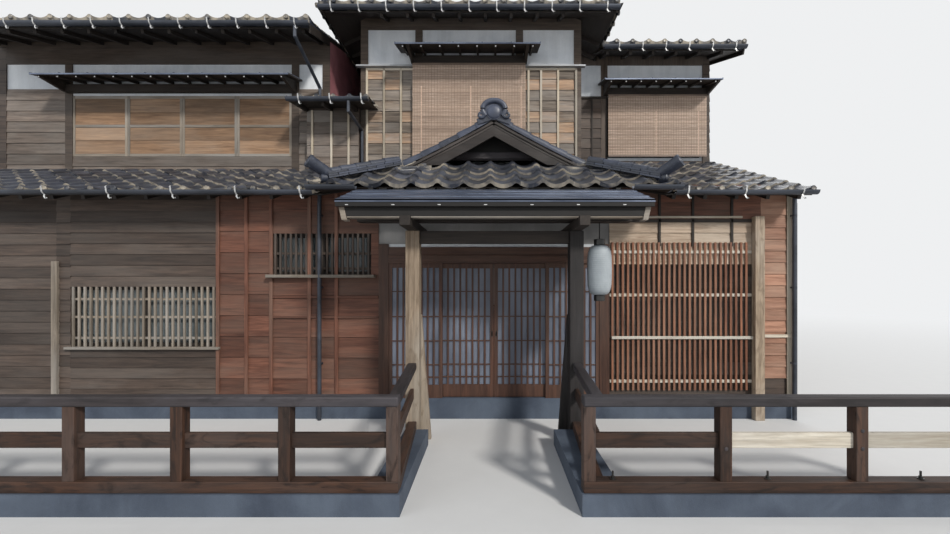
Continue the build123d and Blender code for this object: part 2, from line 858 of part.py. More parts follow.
def window_pent(x_low, x_high, arms, wall_front, front_edge):
    """A small metal-covered roof over a window, on a header along the wall and an arm at each end of it."""
    front = wall_front - window_pent_reach
    rise = window_pent_slope * window_pent_reach
    under = front_edge - window_pent_sheet
    sheet = [(front, front_edge), (wall_front, front_edge + rise), (wall_front, under + rise), (front, under)]
    roof = along_x(sheet, x_low, x_high)
    bottom = under - pent_header_drop
    back = wall_front - pent_header_depth
    arm = [(front, under), (wall_front, under + rise), (wall_front, bottom), (back, bottom),
           (front + pent_arm, under - pent_arm / 2)]
    for middle in arms:
        roof += along_x(arm, middle - pent_arm / 2, middle + pent_arm / 2)
    return roof + block(*arms, back, wall_front, bottom, bottom + pent_header)


def reed_blind(x_low, x_high, wall_front, bottom, front_edge):
    """A reed blind hung under the header of the small roof in front of a window."""
    back = wall_front - blind_stand_off
    top = front_edge - window_pent_sheet - pent_header_drop - seat
    return block(x_low, x_high, back - blind_thickness, back, bottom, top)


def window(low, high, sill, head, y_front):
    """A sash with one middle stile filling its hole, and the pane behind it."""
    y_back = y_front + sash_depth
    frame = block(low, high, y_front, y_back, sill, head)
    frame -= block(low + sash_frame, high - sash_frame, y_front, y_back, sill + sash_frame, head - sash_frame)
    middle = (low + high) / 2
    frame += block(middle - sash_frame / 2, middle + sash_frame / 2, y_front, y_back, sill, head)
    pane_front = y_back + seat
    sheet = block(low + sash_frame / 2, high - sash_frame / 2, pane_front, pane_front + glass,
                  sill + sash_frame / 2, head - sash_frame / 2)
    return frame, sheet


def make_windows():
    """Reed blinds, rain shutters, small roofs and drip ledges over the windows, sashes and glass."""
    head, wing_head = level(window_head), level(wing_window_head)
    window_right = window_left + window_width
    blind_ends = (window_left - blind_side, window_right + blind_side)
    block_edge, wing_edge = head + block_pent_lift, wing_head + wing_pent_lift
    save("reed_blinds",
         reed_blind(*blind_ends, upper_front, level(window_sill), block_edge),
         reed_blind(wing_window_left, wing_window_right + wing_blind_side, wing_front,
                    level(wing_window_sill), wing_edge))
    shutter_front = upper_front + post_face
    save("rain_shutters", block(shutter_left, shutter_right, shutter_front, shutter_front + shutter_board,
                                level(shutter_sill), level(shutter_head)))
    half = wall / 2
    pents = [window_pent(window_left - block_pent_side, window_right + block_pent_side,
                         blind_ends, upper_front, block_edge),
             window_pent(wing_window_left - window_pent_side, house_right,
                         (wing_window_left - half, house_right - half), wing_front, wing_edge),
             window_pent(shutter_left - window_pent_side, shutter_right + window_pent_side,
                         (shutter_left - half, shutter_right + half), upper_front,
                         level(shutter_head) + shutter_pent_lift)]
    ledge = level(drip_ledge_level)
    for ends in ((block_left - drip_ledge_overhang, blind_ends[0] - seat),
                 (blind_ends[1] + seat, block_right + drip_ledge_overhang)):
        pents.append(block(*ends, upper_front - drip_ledge_reach, upper_front, ledge, ledge + drip_ledge))
    save("window_roofs", *pents)
    upper_y = upper_front + wall / 2
    holes = [(window_left, window_left + window_width, level(window_sill), head, upper_y),
             (wing_window_left, wing_window_right, level(wing_window_sill), wing_head, wing_front + wall / 2)]
    holes += [(*edges, wall / 2) for edges in ground_windows()]
    holes += [(*edges, house_back - wall / 2) for edges in rear_windows()]
    pairs = [window(*hole) for hole in holes]
    save("window_sashes", *[pair[0] for pair in pairs])
    save("window_glass", *[pair[1] for pair in pairs])


def make_face_posts():
    """Posts that show on the faces of the upper walls, under a wall plate on each."""
    top = level(block_eave) + storey
    window_right = window_left + window_width
    faces = [(upper_front, (block_left, window_left - wall, window_right, block_right - wall),
              (block_left, block_right), block_plate, under_block(roof_thickness)),
             (wing_front, (wing_window_left - wall,),
              (block_right, house_right - wall), right_plate, under_wing()),
             (upper_front, (shutter_left - wall, shutter_right, wing_gable - wall),
              (house_left + wall, wing_gable), left_plate, under_left(roof_thickness))]
    pieces = []
    for front, posts, ends, plate, covered in faces:
        piece = block(*ends, front, front + post_face, level(plate), top)
        for low in posts:
            piece += block(low, low + wall, front, front + post_face, level(storey), top)
        pieces.append((piece & covered) - under_pent())
    save("upper_face_posts", *pieces)


def make_fence():
    """Fence along the street in two lengths, its returns beside the path, and the kerb under it."""
    back = fence_front + fence_post
    middle = (fence_front + back) / 2
    half = fence_post / 2
    panels = []
    kerbs = []
    for side, bay, bays in ((-1, left_bay, left_bays), (1, right_bay, right_bays)):
        corner = path_middle + side * path_half
        far = corner + side * bay * bays
        low, high = sorted((corner - side * half, far + side * half))
        panel = block(low, high, middle - fence_cap_depth / 2, middle + fence_cap_depth / 2,
                      top_rail_level - fence_cap, top_rail_level)
        panel += block(low, high, middle - mid_rail_depth / 2, middle + mid_rail_depth / 2,
                       mid_rail_level - mid_rail_height, mid_rail_level)
        panel += block(low, high, fence_front, back, kerb_height, sill_rail_level)
        for number in range(bays + 1):
            centre = corner + side * number * bay
            panel += block(centre - half, centre + half, fence_front, back, sill_rail_level,
                           top_rail_level - fence_cap)
        panels.append(panel)
        for width, bottom, top in ((fence_post, top_rail_level - fence_cap, top_rail_level),
                                   (mid_rail_depth, mid_rail_level - mid_rail_height, mid_rail_level),
                                   (fence_post, kerb_height, sill_rail_level)):
            start = middle + fence_cap_depth / 2 + seat
            post = side * post_centre
            plan = [(corner - width / 2, start), (corner + width / 2, start),
                    (post + width / 2, post_front), (post - width / 2, post_front)]
            panels.append(upright(plan, bottom, top))
        path_edge = path_middle + side * kerb_path_edge
        kerb_ends = sorted((path_edge, far + side * half))
        kerbs.append(block(*kerb_ends, front_reach, front_reach + kerb_width, 0, kerb_height))
        return_ends = sorted((path_edge, side * (post_centre + post_size / 2)))
        kerbs.append(block(*return_ends, front_reach + kerb_width + seat, post_front, 0, kerb_height))
    save("fence", *panels)
    save("kerb", *kerbs)


def gutter(x_low, x_high, eave_y, eave_height, outwards):
    """A half-round gutter along an eave, rolled in flat strips."""
    centre_y = eave_y + outwards * (gutter_radius + seat)
    plane = Plane(origin=(x_low, centre_y, eave_height - gutter_drop), x_dir=(0, 1, 0), z_dir=(1, 0, 0))
    inner = gutter_radius - gutter_wall
    ring = RegularPolygon(gutter_radius, gutter_sides) - RegularPolygon(inner, gutter_sides)
    ring &= Rectangle(3 * gutter_radius, 2 * gutter_radius).moved(Pos(0, -gutter_radius))
    return extrude(plane * ring, amount=x_high - x_low)


def bent_pipe(x_top, x_foot, eave, eave_y, bend, roof_top):
    """A downpipe from under a gutter back to the upper wall and down to the roof below it."""
    y_top = eave_y - gutter_radius - seat
    y_foot = upper_front - pipe_stand_off - pipe_radius
    top = level(eave) - gutter_drop - gutter_radius - seat
    foot = roof_top(y_foot + pipe_radius) + seat
    path = Polyline((x_top, y_top, top), (x_top, y_top, top - pipe_neck),
                    (x_foot, y_foot, level(bend)), (x_foot, y_foot, foot))
    section = Plane(origin=(x_top, y_top, top), z_dir=(0, 0, -1)) * RegularPolygon(pipe_radius, pipe_sides)
    return sweep(section, path=path, transition=Transition.RIGHT)


def make_rainwater():
    """Gutters along every eave, and the downpipes at the front."""
    lower = level(pent_eave)
    pieces = [gutter(house_left, -porch_half - gutter_radius, -pent_overhang, lower, -1),
              gutter(porch_half + gutter_radius, house_right, -pent_overhang, lower, -1)]
    for side in (-1, 1):
        ends = sorted((side * (metal_half + seat), side * (porch_half + gutter_radius / 2)))
        pieces.append(gutter(*ends, -porch_reach, level(porch_eave), -1))
    for plan, eave in ((block_plan, block_eave), (left_plan, left_eave), (right_plan, right_eave)):
        start = block_plan[1] + seat if plan is right_plan else plan[0]
        stop = plan[1] - seat if plan is left_plan else plan[1]
        pieces.append(gutter(start, stop, plan[2], level(eave), -1))
        pieces.append(gutter(start, stop, plan[3], level(eave), 1))
    link_eave_y = upper_front - link_reach
    pieces.append(gutter(link_roof_left, link_roof_right, link_eave_y, level(link_eave), -1))
    pipe_y = -pipe_stand_off - pipe_radius
    for centre in (house_right - 2 * pipe_radius, -porch_half - 2 * gutter_radius):
        top = pent_top(pipe_y - pipe_radius) - pent_thickness - seat
        pieces.append(Pos(centre, pipe_y, top / 2) * Cylinder(pipe_radius, top))
    pieces.append(bent_pipe(left_pipe, left_pipe_foot, left_eave, left_plan[2], left_pipe_bend, link_top))
    pieces.append(bent_pipe(link_pipe, link_pipe_foot, link_eave, link_eave_y, link_pipe_bend, pent_top))
    save("rainwater_pipes", *pieces)


def make_lantern():
    """Paper lantern hung under the head beam beside the right porch post, with turned caps."""
    middle = post_front + post_size / 2
    bottom, top = level(lantern_bottom), level(lantern_bottom + lantern_height)
    body = Pos(lantern_centre, middle, (bottom + top) / 2) * Cylinder(lantern_radius, top - bottom)
    save("lantern_paper", body)
    under = Pos(lantern_centre, middle, bottom - lantern_cap / 2) * Cylinder(cap_radius, lantern_cap)
    over = Pos(lantern_centre, middle, top + lantern_cap / 2) * Cylinder(cap_radius, lantern_cap)
    hanger_top = level(arm_bottom + arm_height)
    strap = Box(hanger_strap, hanger_strap, hanger_top - top)
    over += Pos(lantern_centre, middle, (top + hanger_top) / 2) * strap
    save("lantern_fittings", under, over)


make_foundation()
make_floors()
make_inner_posts()
make_ground_front()
make_upper_front()
make_side_walls()
make_rear_wall()
make_link()
make_lower_roofs()
make_porch_roof()
make_porch_ridges()
make_upper_roofs()
make_doors()
make_door_frame()
make_porch_frame()
make_screen()
make_windows()
make_face_posts()
make_fence()
make_rainwater()
make_lantern()
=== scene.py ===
"""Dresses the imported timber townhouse: roof tiles, ridges, boards, blinds, finishes, light and camera."""

import logging
import math
from dataclasses import dataclass, field, replace
from enum import Enum

import bmesh
import bpy
import numpy as np
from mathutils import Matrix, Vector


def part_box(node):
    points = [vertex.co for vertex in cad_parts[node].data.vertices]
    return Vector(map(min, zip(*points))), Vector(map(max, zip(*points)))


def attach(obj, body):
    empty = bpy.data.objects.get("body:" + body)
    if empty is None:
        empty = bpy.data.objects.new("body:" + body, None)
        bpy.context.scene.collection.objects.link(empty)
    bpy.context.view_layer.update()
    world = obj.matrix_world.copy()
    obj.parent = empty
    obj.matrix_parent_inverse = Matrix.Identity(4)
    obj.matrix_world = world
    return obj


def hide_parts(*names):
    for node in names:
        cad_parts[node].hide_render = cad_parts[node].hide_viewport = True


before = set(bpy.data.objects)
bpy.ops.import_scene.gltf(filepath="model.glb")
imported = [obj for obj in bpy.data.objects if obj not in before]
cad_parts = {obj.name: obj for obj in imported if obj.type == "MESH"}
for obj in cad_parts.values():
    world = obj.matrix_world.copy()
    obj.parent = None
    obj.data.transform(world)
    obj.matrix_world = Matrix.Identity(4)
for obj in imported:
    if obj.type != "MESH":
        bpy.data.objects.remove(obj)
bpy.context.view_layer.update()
LOG = logging.getLogger("townhouse")
HOUSE = "house"
UP = np.array([0.0, 0.0, 1.0])
RIGHT = np.array([1.0, 0.0, 0.0])
BACK = np.array([0.0, 1.0, 0.0])
FRONT = np.array([0.0, -1.0, 0.0])
Array = np.ndarray
Socket = bpy.types.NodeSocket
Triple = tuple[float, float, float]


def house_origin() -> Array:
    """The porch's centre line and the door posts' front face, at street level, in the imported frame."""
    low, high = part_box("door_sill")
    return np.array([(low.x + high.x) / 2, low.y, 0.0])


ORIGIN = house_origin()


def node_box(node: str) -> tuple[Array, Array]:
    """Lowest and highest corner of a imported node, measured from the house's own origin."""
    low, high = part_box(node)
    return np.array(low) - ORIGIN, np.array(high) - ORIGIN


SILL = float(node_box("door_sill")[0][2])


def unit(vectors: Array) -> Array:
    """A vector, or each row of an array of them, brought to length one."""
    return vectors / np.linalg.norm(vectors, axis=None if vectors.ndim == 1 else 1, keepdims=True)


def join(x: Array | float, y: Array | float, z: Array | float) -> Array:
    """Points from their three parts, each one number or an array."""
    return np.stack(np.broadcast_arrays(x, y, z), -1)


def bays(edges: Array | list[float]) -> list[tuple[float, float]]:
    """Each edge paired with the next one."""
    return list(zip(edges[:-1], edges[1:]))


def read(items: bpy.types.bpy_prop_collection, key: str, width: int = 3, kind: type = float) -> Array:
    """Reads a property of all points, edges or faces of a mesh.

    Args:
        items: The mesh's points, edges or faces.
        key: Name of the property.
        width: Numbers per item.
        kind: Type of the numbers.

    Returns:
        One row per item.
    """
    values = np.zeros(width * len(items), kind)
    items.foreach_get(key, values)
    return values.reshape(-1, width)


def placed(name: str, data: bpy.types.ID) -> bpy.types.Object:
    """Puts a mesh, lamp or camera into the scene.

    Args:
        name: Name of the object.
        data: What it shows.

    Returns:
        The new object.
    """
    made = bpy.data.objects.new(name, data)
    bpy.context.scene.collection.objects.link(made)
    return made


def wear(piece: bpy.types.Object, width: float, angle: float = 30.0) -> None:
    """Rounds a piece's sharp edges in two steps.

    Args:
        piece: The object.
        width: Width of the worn edges in metres.
        angle: Angle in degrees past which an edge is worn.
    """
    worn = piece.modifiers.new("worn_edges", "BEVEL")
    worn.width, worn.segments, worn.limit_method = width, 2, "ANGLE"
    worn.angle_limit = math.radians(angle)


def carry(mesh: bpy.types.Mesh, shade: Array, grain: Array) -> None:
    """Stores the tone and the pattern coordinates of each point in a mesh."""
    mesh.attributes.new("shade", "FLOAT", "POINT").data.foreach_set("value", shade)
    mesh.attributes.new("grain", "FLOAT_VECTOR", "POINT").data.foreach_set("vector", grain.ravel())


class Grain(Enum):
    """Where a finish takes its pattern's direction from."""

    ALONG_X = "x"
    ALONG_Y = "y"
    ALONG_Z = "z"
    OWN = "own"


class NodeSheet:
    """Short calls for the nodes of one material."""

    def __init__(self, name: str) -> None:
        """Makes an empty material with its shader and output.

        Args:
            name: The material's name.
        """
        self.material = bpy.data.materials.new(name)
        self.material.use_nodes = True
        self.tree = self.material.node_tree
        self.shader = self.tree.nodes["Principled BSDF"]

    def node(self, kind: str, **values: object) -> bpy.types.Node:
        """Adds a node and sets its properties and sockets.

        Args:
            kind: Blender's name of the node's class.
            **values: Properties by name, or sockets by name with spaces as underscores.

        Returns:
            The new node.
        """
        made = self.tree.nodes.new(kind)
        for key, value in values.items():
            if hasattr(made, key):
                setattr(made, key, value)
            else:
                made.inputs[key.replace("_", " ")].default_value = value
        return made

    def link(self, start: Socket, end: Socket) -> None:
        """Joins two sockets."""
        self.tree.links.new(start, end)

    def put(self, value: Socket | float | Triple, socket: Socket) -> None:
        """Joins a socket to another, or gives it a number or a colour.

        Args:
            value: Socket, number or colour.
            socket: The socket that takes it.
        """
        if isinstance(value, Socket):
            self.link(value, socket)
        else:
            socket.default_value = value if isinstance(value, float) else (*value, 1.0)

    def maths(self, kind: str, *values: Socket | float) -> Socket:
        """One step of arithmetic.

        Args:
            kind: Blender's name of the operation.
            *values: Sockets or numbers.

        Returns:
            The value socket.
        """
        made = self.node("ShaderNodeMath", operation=kind)
        for value, socket in zip(values, made.inputs):
            self.put(value, socket)
        return made.outputs[0]

    def coords(self, grain: Grain, stretch: float, scale: float = 1.0) -> Socket:
        """Pattern coordinates, drawn out along the grain.

        Args:
            grain: Axis of the grain, or the piece's own grain attribute.
            stretch: How many times longer the pattern is along the grain.
            scale: Overall scale of the pattern.

        Returns:
            The vector socket.
        """
        if grain is Grain.OWN:
            source = self.node("ShaderNodeAttribute", attribute_name="grain").outputs["Vector"]
            axes = (1.0 / stretch, 1.0, 1.0)
        else:
            source = self.node("ShaderNodeTexCoord").outputs["Object"]
            axes = tuple(1.0 / stretch if grain.value == axis else 1.0 for axis in "xyz")
        mapping = self.node("ShaderNodeMapping")
        mapping.inputs["Scale"].default_value = [scale * axis for axis in axes]
        self.link(source, mapping.inputs["Vector"])
        return mapping.outputs["Vector"]

    def noise(self, where: Socket, scale: float, detail: float = 6.0, distortion: float = 0.0) -> Socket:
        """A cloudy pattern from 0 to 1.

        Args:
            where: The vector socket.
            scale: Patches per metre.
            detail: Octaves.
            distortion: How much it twists.

        Returns:
            The value socket.
        """
        made = self.node("ShaderNodeTexNoise", Scale=scale, Detail=detail, Roughness=0.6,
            Distortion=distortion)
        self.link(where, made.inputs["Vector"])
        return made.outputs["Fac"]

    def ramp(self, factor: Socket, *stops: tuple[float, Triple]) -> Socket:
        """Colours laid over a value.

        Args:
            factor: The value socket.
            *stops: Pairs of a place from 0 to 1 and a colour.

        Returns:
            The colour socket.
        """
        made = self.node("ShaderNodeValToRGB")
        elements = made.color_ramp.elements
        while len(elements) < len(stops):
            elements.new(0.5)
        for element, (place, colour) in zip(elements, stops):
            element.position = place
            element.color = (*colour, 1.0)
        self.link(factor, made.inputs["Fac"])
        return made.outputs["Color"]

    def mix(self, factor: Socket | float, first: Socket | tuple, second: Socket | tuple,
            blend: str = "MIX") -> Socket:
        """Mixes two colours.

        Args:
            factor: Socket or number from 0 to 1.
            first: Colour socket or three numbers.
            second: Colour socket or three numbers.
            blend: Blender's name of the blend.

        Returns:
            The colour socket.
        """
        made = self.node("ShaderNodeMix", data_type="RGBA", blend_type=blend)
        for number, value in ((0, factor), (6, first), (7, second)):
            self.put(value, made.inputs[number])
        return made.outputs[2]

    def remap(self, value: Socket, low: float, high: float, from_low: float = 0.0,
            from_high: float = 1.0) -> Socket:
        """Moves a value from one range to another.

        Args:
            value: The value socket.
            low: New lowest value.
            high: New highest value.
            from_low: Old lowest value.
            from_high: Old highest value.

        Returns:
            The value socket.
        """
        made = self.node("ShaderNodeMapRange", From_Min=from_low, From_Max=from_high, To_Min=low,
            To_Max=high)
        self.link(value, made.inputs["Value"])
        return made.outputs["Result"]

    def shade(self) -> Socket:
        """The value that each tile or board carries for its own tone."""
        return self.node("ShaderNodeAttribute", attribute_name="shade").outputs["Fac"]

    def finish(self, colour: Socket, roughness: Socket | float, height: Socket | None, depth: float,
            **sockets: float) -> bpy.types.Material:
        """Joins the patterns to the shader.

        Args:
            colour: Base colour socket.
            roughness: Socket or number.
            height: Value socket that the bump follows, or none.
            depth: Height of the bump in metres.
            **sockets: Other shader sockets by name, with spaces as underscores.

        Returns:
            The finished material.
        """
        self.link(colour, self.shader.inputs["Base Color"])
        self.put(roughness, self.shader.inputs["Roughness"])
        if height is not None:
            bump = self.node("ShaderNodeBump", Strength=1.0, Distance=depth)
            self.link(height, bump.inputs["Height"])
            self.link(bump.outputs["Normal"], self.shader.inputs["Normal"])
        for key, value in sockets.items():
            self.shader.inputs[key.replace("_", " ")].default_value = value
        return self.material


@dataclass(frozen=True)
class Finish:
    """What every finish has: its name, the record's slot it belongs to, and its colours."""

    name: str
    slot: str
    dark: Triple
    light: Triple
    grain: Grain = field(default=Grain.OWN, kw_only=True)

    def material(self) -> bpy.types.Material:
        """The Blender material of this finish, made once."""
        key = f"{self.name}_{self.grain.value}"
        return bpy.data.materials.get(key) or self.make(NodeSheet(key))

    def make(self, sheet: NodeSheet) -> bpy.types.Material:
        """Lays out the nodes.

        Args:
            sheet: The empty material.

        Returns:
            The finished material.
        """
        raise NotImplementedError

    def toned(self, sheet: NodeSheet, colour: Socket, spread: float) -> Socket:
        """Multiplies a colour by the tone of each tile or board.

        Args:
            sheet: The material.
            colour: Colour socket.
            spread: How far tones differ, from 0.

        Returns:
            The colour socket.
        """
        if self.grain is not Grain.OWN:
            return colour
        tone = sheet.remap(sheet.shade(), 1.0 - spread, 1.0 + spread)
        even = sheet.node("ShaderNodeCombineColor")
        for channel in ("Red", "Green", "Blue"):
            sheet.link(tone, even.inputs[channel])
        return sheet.mix(1.0, colour, even.outputs["Color"], "MULTIPLY")


STAIN_TONE = 0.75
BLUSH_SHADOW = 0.45


def grey(tone: float) -> Triple:
    """A colour with the same tone in each part."""
    return (tone, tone, tone)


@dataclass(frozen=True)
class Wood(Finish):
    """Sawn timber with long grain, fine fibre and patches of weather."""

    weathered: Triple = (0.30, 0.28, 0.25)
    weather: float = 0.35
    roughness: float = 0.62
    spread: float = 0.3
    relief: float = 0.0012
    blush: Triple | None = None
    # Board height for painted shadows under the laps on a plain wall; nothing leaves them out.
    course: float = 0.0
    stains: float = 0.0

    def make(self, sheet: NodeSheet) -> bpy.types.Material:
        """Grain is noise drawn out along the board; weather greys it, and blush warms it, in broad patches.

        Args:
            sheet: The empty material.

        Returns:
            The finished material.
        """
        long_grain = sheet.noise(sheet.coords(self.grain, 14.0), 26.0, 8.0, 0.6)
        fibre = sheet.noise(sheet.coords(self.grain, 40.0), 190.0, 3.0)
        patches = sheet.noise(sheet.coords(self.grain, 3.0), 1.7, 5.0, 0.4)
        colour = sheet.ramp(long_grain, (0.28, self.dark), (0.72, self.light))
        fibres = sheet.ramp(fibre, (0.25, grey(0.62)), (0.7, grey(1.0)))
        colour = sheet.mix(0.75, colour, fibres, "MULTIPLY")
        greyed = sheet.remap(patches, 0.0, self.weather * 1.6, 0.42, 0.75)
        colour = sheet.mix(greyed, colour, self.weathered)
        if self.blush is not None:
            warm = sheet.maths("ADD", sheet.noise(sheet.coords(self.grain, 6.0), 9.0, 6.0, 0.8),
                sheet.shade())
            shadow = tuple(BLUSH_SHADOW * part for part in self.blush)
            tan = sheet.ramp(long_grain, (0.3, shadow), (0.7, self.blush))
            colour = sheet.mix(sheet.remap(warm, 0.0, 0.62, 1.02, 1.5), colour, tan)
        colour = self.toned(sheet, colour, self.spread)
        if self.course:
            colour = sheet.mix(1.0, colour, self.laps(sheet), "MULTIPLY")
        if self.stains:
            blots = sheet.noise(sheet.coords(self.grain, 3.2), 11.0, 4.0, 0.9)
            colour = sheet.mix(sheet.remap(blots, 0.0, self.stains, 0.52, 0.66), colour,
                tuple(STAIN_TONE * part for part in self.dark))
        rough = sheet.remap(patches, self.roughness - 0.12, self.roughness + 0.18)
        height = sheet.maths("ADD", long_grain, fibre)
        return sheet.finish(colour, rough, height, self.relief, Specular_IOR_Level=0.35)

    def laps(self, sheet: NodeSheet) -> Socket:
        """Tone of lapped boards on a plain wall.

        Height over the course gives a whole part, which picks each board's tone, and a rest, which is
        dark just below the lap as a painted shadow.

        Args:
            sheet: The material.

        Returns:
            The colour socket.
        """
        split = sheet.node("ShaderNodeSeparateXYZ")
        sheet.link(sheet.node("ShaderNodeTexCoord").outputs["Object"], split.inputs[0])
        scaled = sheet.maths("DIVIDE", split.outputs["Z"], self.course)
        whole, rest = (sheet.maths(kind, scaled) for kind in ("FLOOR", "FRACT"))
        chance = sheet.node("ShaderNodeTexWhiteNoise", noise_dimensions="1D")
        sheet.link(whole, chance.inputs["W"])
        low, high = 1.0 - self.spread, 1.0 + self.spread
        tone = sheet.ramp(chance.outputs["Value"], (0.0, grey(low)), (1.0, grey(high)))
        # Painted shadow just below each lap.
        edge = sheet.ramp(rest, (0.02, grey(0.2)), (0.07, grey(1.0)))
        return sheet.mix(1.0, tone, edge, "MULTIPLY")


@dataclass(frozen=True)
class Tile(Finish):
    """Smoked clay tile: each tile has its own tone, dust and lichen in patches, bluish specks of painted
    sheen on the ridge tiles, and lips lightened as painted sunlight.
    """

    # Colour of the specks: lichen on the roof tiles, a painted bluish sheen on the ridge tiles.
    lichen_and_sheen: Triple = (0.24, 0.235, 0.20)
    # Colour of the painted sunlight on the tiles' lips, if any.
    lip: Triple | None = None

    def make(self, sheet: NodeSheet) -> bpy.types.Material:
        """Tone is each tile's shade over a broad noise, the specks a cut fine noise, and the painted sunlight
        lies on the faces that look sideways, the lips.

        Args:
            sheet: The empty material.

        Returns:
            The finished material.
        """
        where = sheet.coords(self.grain, 1.0)
        cloud = sheet.noise(where, 3.2, 6.0, 0.3)
        speck = sheet.noise(where, 34.0, 8.0)
        colour = sheet.ramp(cloud, (0.3, self.dark), (0.72, self.light))
        colour = self.toned(sheet, colour, 0.42)
        # Specks: lichen, and on the ridge tiles painted sheen.
        lichen_and_sheen_specks = sheet.remap(speck, 0.0, 0.6, 0.57, 0.74)
        colour = sheet.mix(lichen_and_sheen_specks, colour, self.lichen_and_sheen)
        if self.lip:
            # Painted sunlight on the lips: faces that look sideways are lightened where the broad cloud is
            # light.
            facing = sheet.node("ShaderNodeSeparateXYZ")
            sheet.link(sheet.node("ShaderNodeNewGeometry").outputs["True Normal"], facing.inputs[0])
            upright = sheet.remap(facing.outputs["Z"], 1.0, 0.0, 0.18, 0.36)
            worn = sheet.maths("MULTIPLY", upright, sheet.remap(cloud, 0.0, 1.0, 0.42, 0.62))
            colour = sheet.mix(worn, colour, self.lip)
        rough = sheet.remap(speck, 0.27, 0.6)
        return sheet.finish(colour, rough, speck, 0.0010, Specular_IOR_Level=0.55)


@dataclass(frozen=True)
class Plaster(Finish):
    """Lime plaster or concrete: rain streaks from above, soft stains and a fine gritty face."""

    grit: float = 160.0
    streak: float = 0.5
    relief: float = 0.0008
    roughness: float = 0.85

    def make(self, sheet: NodeSheet) -> bpy.types.Material:
        """Streaks are noise drawn out in height, stains are broad noise, grit is fine noise.

        Args:
            sheet: The empty material.

        Returns:
            The finished material.
        """
        streaks = sheet.noise(sheet.coords(Grain.ALONG_Z, 9.0), 9.0, 5.0)
        stains = sheet.noise(sheet.coords(Grain.ALONG_X, 1.0), 1.4, 7.0, 0.5)
        grit = sheet.noise(sheet.coords(Grain.ALONG_X, 1.0), self.grit, 4.0)
        colour = sheet.ramp(stains, (0.3, self.dark), (0.62, self.light))
        rain = sheet.ramp(streaks, (0.30, (0.78, 0.78, 0.77)), (0.6, grey(1.0)))
        colour = sheet.mix(self.streak, colour, rain, "MULTIPLY")
        grain = sheet.ramp(grit, (0.3, grey(0.88)), (0.7, grey(1.0)))
        colour = sheet.mix(0.8, colour, grain, "MULTIPLY")
        return sheet.finish(colour, self.roughness, grit, self.relief)


@dataclass(frozen=True)
class SheetMetal(Finish):
    """Painted or darkened sheet metal with chalked patches and small scratches; on the eave metal the light
    patches are a painted sky sheen.
    """

    roughness: float = 0.38
    metallic: float = 0.6

    def make(self, sheet: NodeSheet) -> bpy.types.Material:
        """Chalk, and on the eave metal the painted sheen, is broad noise; scratches are noise drawn out in
        length.

        Args:
            sheet: The empty material.

        Returns:
            The finished material.
        """
        cloud = sheet.noise(sheet.coords(self.grain, 2.0), 2.6, 7.0, 0.5)
        scratch = sheet.noise(sheet.coords(self.grain, 12.0), 60.0, 5.0)
        colour = sheet.ramp(cloud, (0.32, self.dark), (0.7, self.light))
        colour = sheet.mix(0.5, colour, sheet.ramp(scratch, (0.3, grey(0.7)), (0.65, grey(1.0))),
            "MULTIPLY")
        rough = sheet.remap(cloud, self.roughness - 0.1, self.roughness + 0.25)
        return sheet.finish(colour, rough, scratch, 0.0004, Metallic=self.metallic)


@dataclass(frozen=True)
class Reed(Finish):
    """Split reeds tied side by side, each with its own tone."""

    def make(self, sheet: NodeSheet) -> bpy.types.Material:
        """Each reed's tone comes from its shade; weather is a broad noise.

        Args:
            sheet: The empty material.

        Returns:
            The finished material.
        """
        along = sheet.noise(sheet.coords(Grain.ALONG_X, 20.0), 120.0, 4.0)
        cloud = sheet.noise(sheet.coords(Grain.ALONG_X, 1.0), 2.2, 6.0, 0.4)
        colour = sheet.ramp(along, (0.3, self.dark), (0.7, self.light))
        colour = sheet.mix(sheet.remap(cloud, 0.0, 0.45, 0.4, 0.75), colour, (0.36, 0.255, 0.185))
        return sheet.finish(self.toned(sheet, colour, 0.32), 0.55, along, 0.0006)


@dataclass(frozen=True)
class Glass(Finish):
    """Frosted or plain window glass with a faint film of dust."""

    frost: float = 0.35
    clear: float = 0.3

    def make(self, sheet: NodeSheet) -> bpy.types.Material:
        """The film is a broad noise between the two colours, and the frost a constant roughness.

        Args:
            sheet: The empty material.

        Returns:
            The finished material.
        """
        film = sheet.noise(sheet.coords(Grain.ALONG_Z, 3.0), 3.0, 6.0, 0.6)
        colour = sheet.ramp(film, (0.3, self.dark), (0.7, self.light))
        return sheet.finish(colour, sheet.remap(film, self.frost - 0.08, self.frost + 0.12), None, 0.0,
            Transmission_Weight=self.clear, IOR=1.5)


@dataclass(frozen=True)
class Paper(Finish):
    """Oiled lantern paper with fibres."""

    def make(self, sheet: NodeSheet) -> bpy.types.Material:
        """Fibres are fine noise; age is a broad noise that yellows the paper.

        Args:
            sheet: The empty material.

        Returns:
            The finished material.
        """
        where = sheet.coords(Grain.ALONG_X, 1.0)
        fibre = sheet.noise(where, 260.0, 5.0)
        age = sheet.noise(where, 7.0, 5.0)
        colour = sheet.mix(sheet.remap(fibre, 0.0, 0.25), sheet.ramp(age, (0.3, self.dark),
            (0.7, self.light)), (0.50, 0.49, 0.44))
        return sheet.finish(colour, 0.6, fibre, 0.0003)


# The lip colour is painted sunlight on the tiles' front edges.
ROOF_TILE = Tile("smoked_tile", "roof_tile", (0.019, 0.021, 0.029), (0.066, 0.073, 0.095),
    lip=(0.44, 0.385, 0.30))
# Ridge tiles: their bluish specks are a painted sky sheen.
RIDGE_TILE = Tile("ridge_tile", "roof_tile", (0.015, 0.019, 0.031), (0.050, 0.060, 0.092),
    lichen_and_sheen=(0.125, 0.142, 0.19))
DARK_TIMBER = Wood("dark_timber", "dark_timber", (0.011, 0.008, 0.007), (0.036, 0.027, 0.021),
    (0.056, 0.048, 0.043), 0.3)
